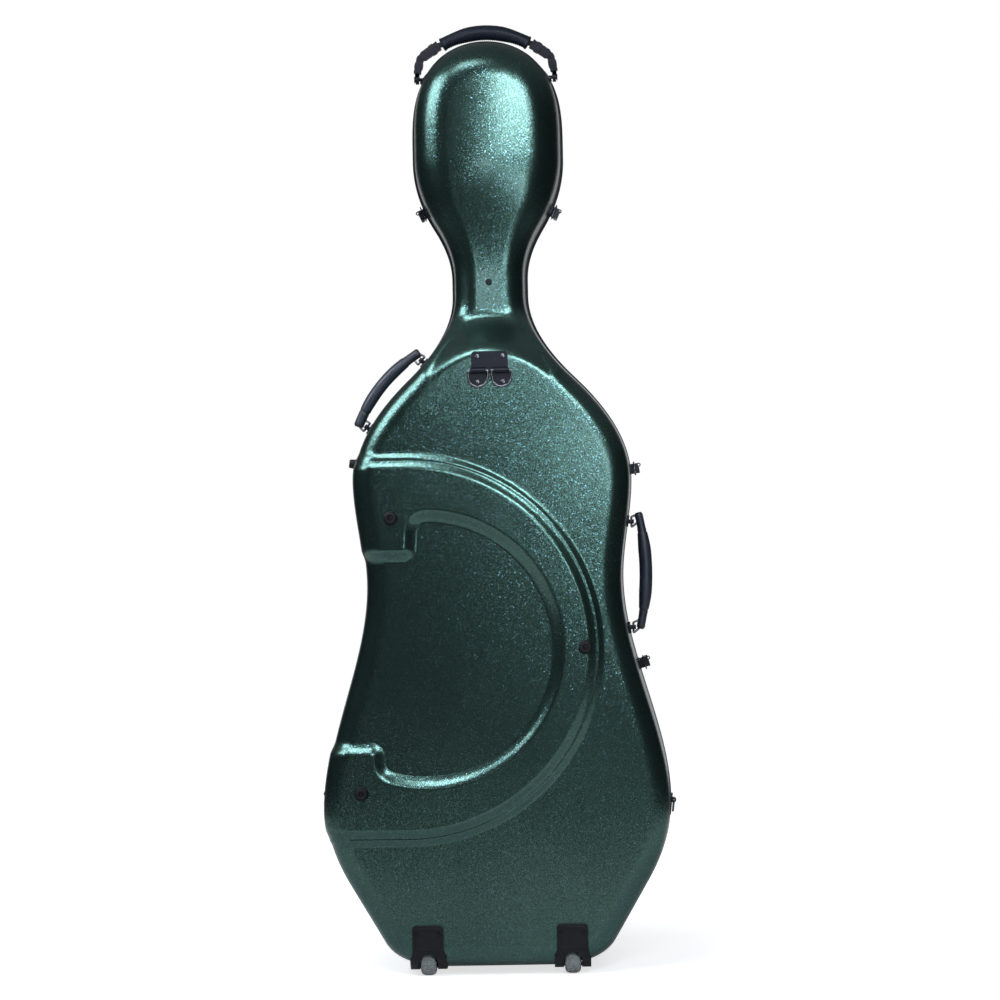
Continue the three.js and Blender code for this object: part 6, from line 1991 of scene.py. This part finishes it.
class CELLOCASE_OT_pads(bpy.types.Operator):
    """Foam cradle for the neck and foam block with the end pin's socket"""

    bl_idname = "cello_case.pads"
    bl_label = "Pads"

    def execute(self, context):
        z, floor = SHELL_FOOT + CRADLE_HEIGHT, 9.9 - BACK_NECK
        top = floor + 34.0
        cradle = from_seam(block((-48.0, floor - 8, z + 2), (48.0, top - 2, z + 64.0)))
        cradle = overlap(cradle, padded_space())
        notch = from_seam(rod((0, top + 8.0, z - 8), (0, top + 8.0, z + 74.0), 24.5, 48))
        cradle = swollen(round_edges(cut(cradle, notch), 4.0, 3))
        bore = from_seam(rod((0, floor - 8, NECK_SCREW_Z), (0, 24.5 - BACK_NECK, NECK_SCREW_Z), 2.7))
        settle(cut(cradle, bore), "neck_pad", lining_plush(), "case_base", "neck_cradle",
                         smoothing=60)
        half, height = WHEEL_X - 39.0, SHELL_FOOT + END_BLOCK_HEIGHT
        pad = from_seam(block((-half + 2, -152.0, 0.0), (half - 2, -36.0, height - 2)))
        pad = swollen(round_edges(overlap(pad, padded_space()), 4.0, 3))
        depth = SOCKET_DEPTH
        socket = from_seam(rod((0, -depth, height - 20.0), (0, -depth, height + 9.0), 12.0, 48))
        settle(cut(pad, socket), "end_pad", lining_plush(), "case_base", "end_block",
                         smoothing=60)
        collar = turned([
            (11.6, -19.0), (11.9, -19.6), (11.9, 2.6), (13.9, 2.6), (14.2, 3.1), (13.9, 3.6), (10.4, 3.6),
            (10.2, 3.2), (10.2, -19.0),
        ], 48, closed=True)
        settle(collar, "end_pin_socket", black_plastic(), "case_base", place=at(0, -depth, height))
        return {"FINISHED"}


# Camera: distance, turn and roll in degrees, the point it looks at and the width it sees there
CAMERA_DISTANCE, CAMERA_TURN, CAMERA_ROLL = 4.5, 1.0, -1.07
CAMERA_TARGET = Vector((0.0082, 0.0075, 0.652))
VIEW_WIDTH = 1.416
SENSOR = 36

# Lamps: name, place, aim, width and height in metres, radiance, and spread in degrees
LAMPS = (
    ("key", (0.58, -2.3, 0.83), (0.0, 0.0, 0.80), (0.62, 0.28), 12.5, 180),
    ("head", (0.62, -2.1, 1.68), (0.05, 0.0, 1.2), (1.10, 0.46), 22.0, 180),
    ("neck", (-0.07, -2.3, 1.12), (0.0, 0.0, 0.96), (0.30, 0.16), 16.0, 180),
    ("top", (-0.55, -1.1, 2.20), (-0.1, -0.1, 0.66), (1.3, 0.50), 1.1, 40),
    ("left", (-1.60, -0.7, 1.90), (0.0, 0.0, 1.2), (1.10, 0.90), 11.0, 180),
)
LAMP_COLOUR = (0.82, 0.90, 1.0)


def aimed(thing, towards):
    thing.rotation_mode = "QUATERNION"
    thing.rotation_quaternion = towards.to_track_quat("-Z", "Y")


def place_camera():
    """The camera at the photograph's viewing angle."""
    turn_by = math.radians(CAMERA_TURN)
    back = Vector((math.sin(turn_by), -math.cos(turn_by), 0))
    bpy.ops.object.camera_add(location=CAMERA_TARGET + back * CAMERA_DISTANCE)
    camera = bpy.context.object
    aimed(camera, -back)
    camera.rotation_quaternion @= Matrix.Rotation(math.radians(CAMERA_ROLL), 3, "Z").to_quaternion()
    camera.data.sensor_width = SENSOR
    camera.data.lens = SENSOR * CAMERA_DISTANCE / VIEW_WIDTH
    bpy.context.scene.camera = camera


def place_lamp(name, place, aim, size, radiance, spread):
    bpy.ops.object.light_add(type="AREA", location=place)
    lamp = bpy.context.object
    lamp.name = name
    lamp.data.shape = "RECTANGLE"
    lamp.data.size, lamp.data.size_y = size
    lamp.data.energy = radiance * math.pi * size[0] * size[1]
    lamp.data.color = LAMP_COLOUR
    lamp.data.spread = math.radians(spread)
    lamp.visible_camera = False
    aimed(lamp, Vector(aim) - Vector(place))


def studio_floor():
    """Pale floor that keeps the case's shadow and is seen white further away. Other rays see painted light:
    it glows, most in a ring round the case, and its colour turns dark far off as painted shade.
    """
    look = Finish("floor", Roughness=0.6, Emission_Strength=1.0)
    seen = look.node("ShaderNodeLightPath", {}, output="Is Camera Ray")
    away = look.node("ShaderNodeVectorMath", {"operation": "LENGTH"}, look.place, output="Value")
    far = look.between(away, 1.1, 2.1)
    near_colour = look.mix(look.noise(400.0, 2.0), (0.56, 0.56, 0.56), (0.60, 0.60, 0.60))
    # Beyond about 1.1 m the colour turns dark: painted shade on the far floor, as the shell reflects it.
    look.set(Base_Color=look.mix(far, near_colour, (0.08, 0.08, 0.08)))
    # Painted light: the floor glows for every ray but the camera's, brightest in a ring round the case, so
    # it lights the shell and shows in it.
    painted_glow_ring = look.between(away, 0.35, 1.0) * (1 - far)
    painted_floor_glow = look.mix(painted_glow_ring, (0.04, 0.04, 0.04), (0.42, 0.43, 0.40))
    glow = look.mix(look.between(away, 0.3, 1.0), (0.70, 0.70, 0.70), (1.0, 1.0, 1.0))
    look.set(Emission_Color=look.mix(seen, painted_floor_glow, glow))
    return look.material


def studio_world():
    """A dim room with a paler wall behind the camera, seen white by the camera itself."""
    world = bpy.data.worlds.new("studio")
    world.use_nodes = True
    sky = Shading(world.node_tree)
    direction = sky.node("ShaderNodeTexCoord", {}, output="Generated")
    behind = sky.between(sky.part(direction, 1), 0.75, 1.0)
    above = sky.between(sky.part(direction, 2), 0.1, 0.9)
    dim = sky.mix(above, (0.025, 0.026, 0.026), (0.24, 0.245, 0.25))
    studio = sky.mix(behind, dim, (0.50, 0.51, 0.52))
    seen = sky.node("ShaderNodeLightPath", {}, output="Is Camera Ray")
    background = world.node_tree.nodes["Background"]
    sky.feed(background.inputs["Color"], sky.mix(seen, studio, (1, 1, 1)))
    background.inputs["Strength"].default_value = 1.0
    return world


class CELLOCASE_OT_stage(bpy.types.Operator):
    """Camera, lamps, world and floor"""

    bl_idname = "cello_case.stage"
    bl_label = "Stage"

    def execute(self, context):
        scene = context.scene
        scene.view_settings.view_transform = "Standard"
        deselect()
        place_camera()
        for lamp in LAMPS:
            place_lamp(*lamp)
        bpy.ops.mesh.primitive_plane_add(size=7, location=(0, 0, 0))
        floor = named("floor")
        floor.data.materials.append(studio_floor())
        scene.world = studio_world()
        return {"FINISHED"}


class CELLOCASE_PT_panel(bpy.types.Panel):
    """Buttons and settings of the case"""

    bl_idname = "CELLOCASE_PT_panel"
    bl_label = "Cello case"
    bl_space_type = "VIEW_3D"
    bl_region_type = "UI"
    bl_category = "Cello case"

    def draw(self, context):
        for settings in (context.scene.cello_case_finish, context.scene.cello_case_sizes):
            for key in settings.__annotations__:
                self.layout.prop(settings, key)
        for kind in OPERATORS:
            self.layout.operator(kind.bl_idname)


def register():
    for kind in (*SETTINGS, *OPERATORS, CELLOCASE_PT_panel):
        bpy.utils.register_class(kind)
    bpy.types.Scene.cello_case_finish = bpy.props.PointerProperty(type=CelloCaseFinish)
    bpy.types.Scene.cello_case_sizes = bpy.props.PointerProperty(type=CelloCaseSizes)


def unregister():
    del bpy.types.Scene.cello_case_sizes
    del bpy.types.Scene.cello_case_finish
    for kind in reversed((*SETTINGS, *OPERATORS, CELLOCASE_PT_panel)):
        bpy.utils.unregister_class(kind)


SETTINGS = (CelloCaseFinish, CelloCaseSizes)
OPERATORS = (
    CELLOCASE_OT_stage, CELLOCASE_OT_shells, CELLOCASE_OT_seal, CELLOCASE_OT_wheels, CELLOCASE_OT_feet,
    CELLOCASE_OT_rings, CELLOCASE_OT_hinges, CELLOCASE_OT_latches, CELLOCASE_OT_side_handles,
    CELLOCASE_OT_top_handle, CELLOCASE_OT_neck_screw, CELLOCASE_OT_linings, CELLOCASE_OT_pads,
)


def main():
    register()
    for kind in OPERATORS:
        group, name = kind.bl_idname.split(".")
        result = getattr(getattr(bpy.ops, group), name)()
        if result != {"FINISHED"}:
            raise RuntimeError(f"{kind.bl_label} was not finished")


if __name__ == "__main__":
    main()
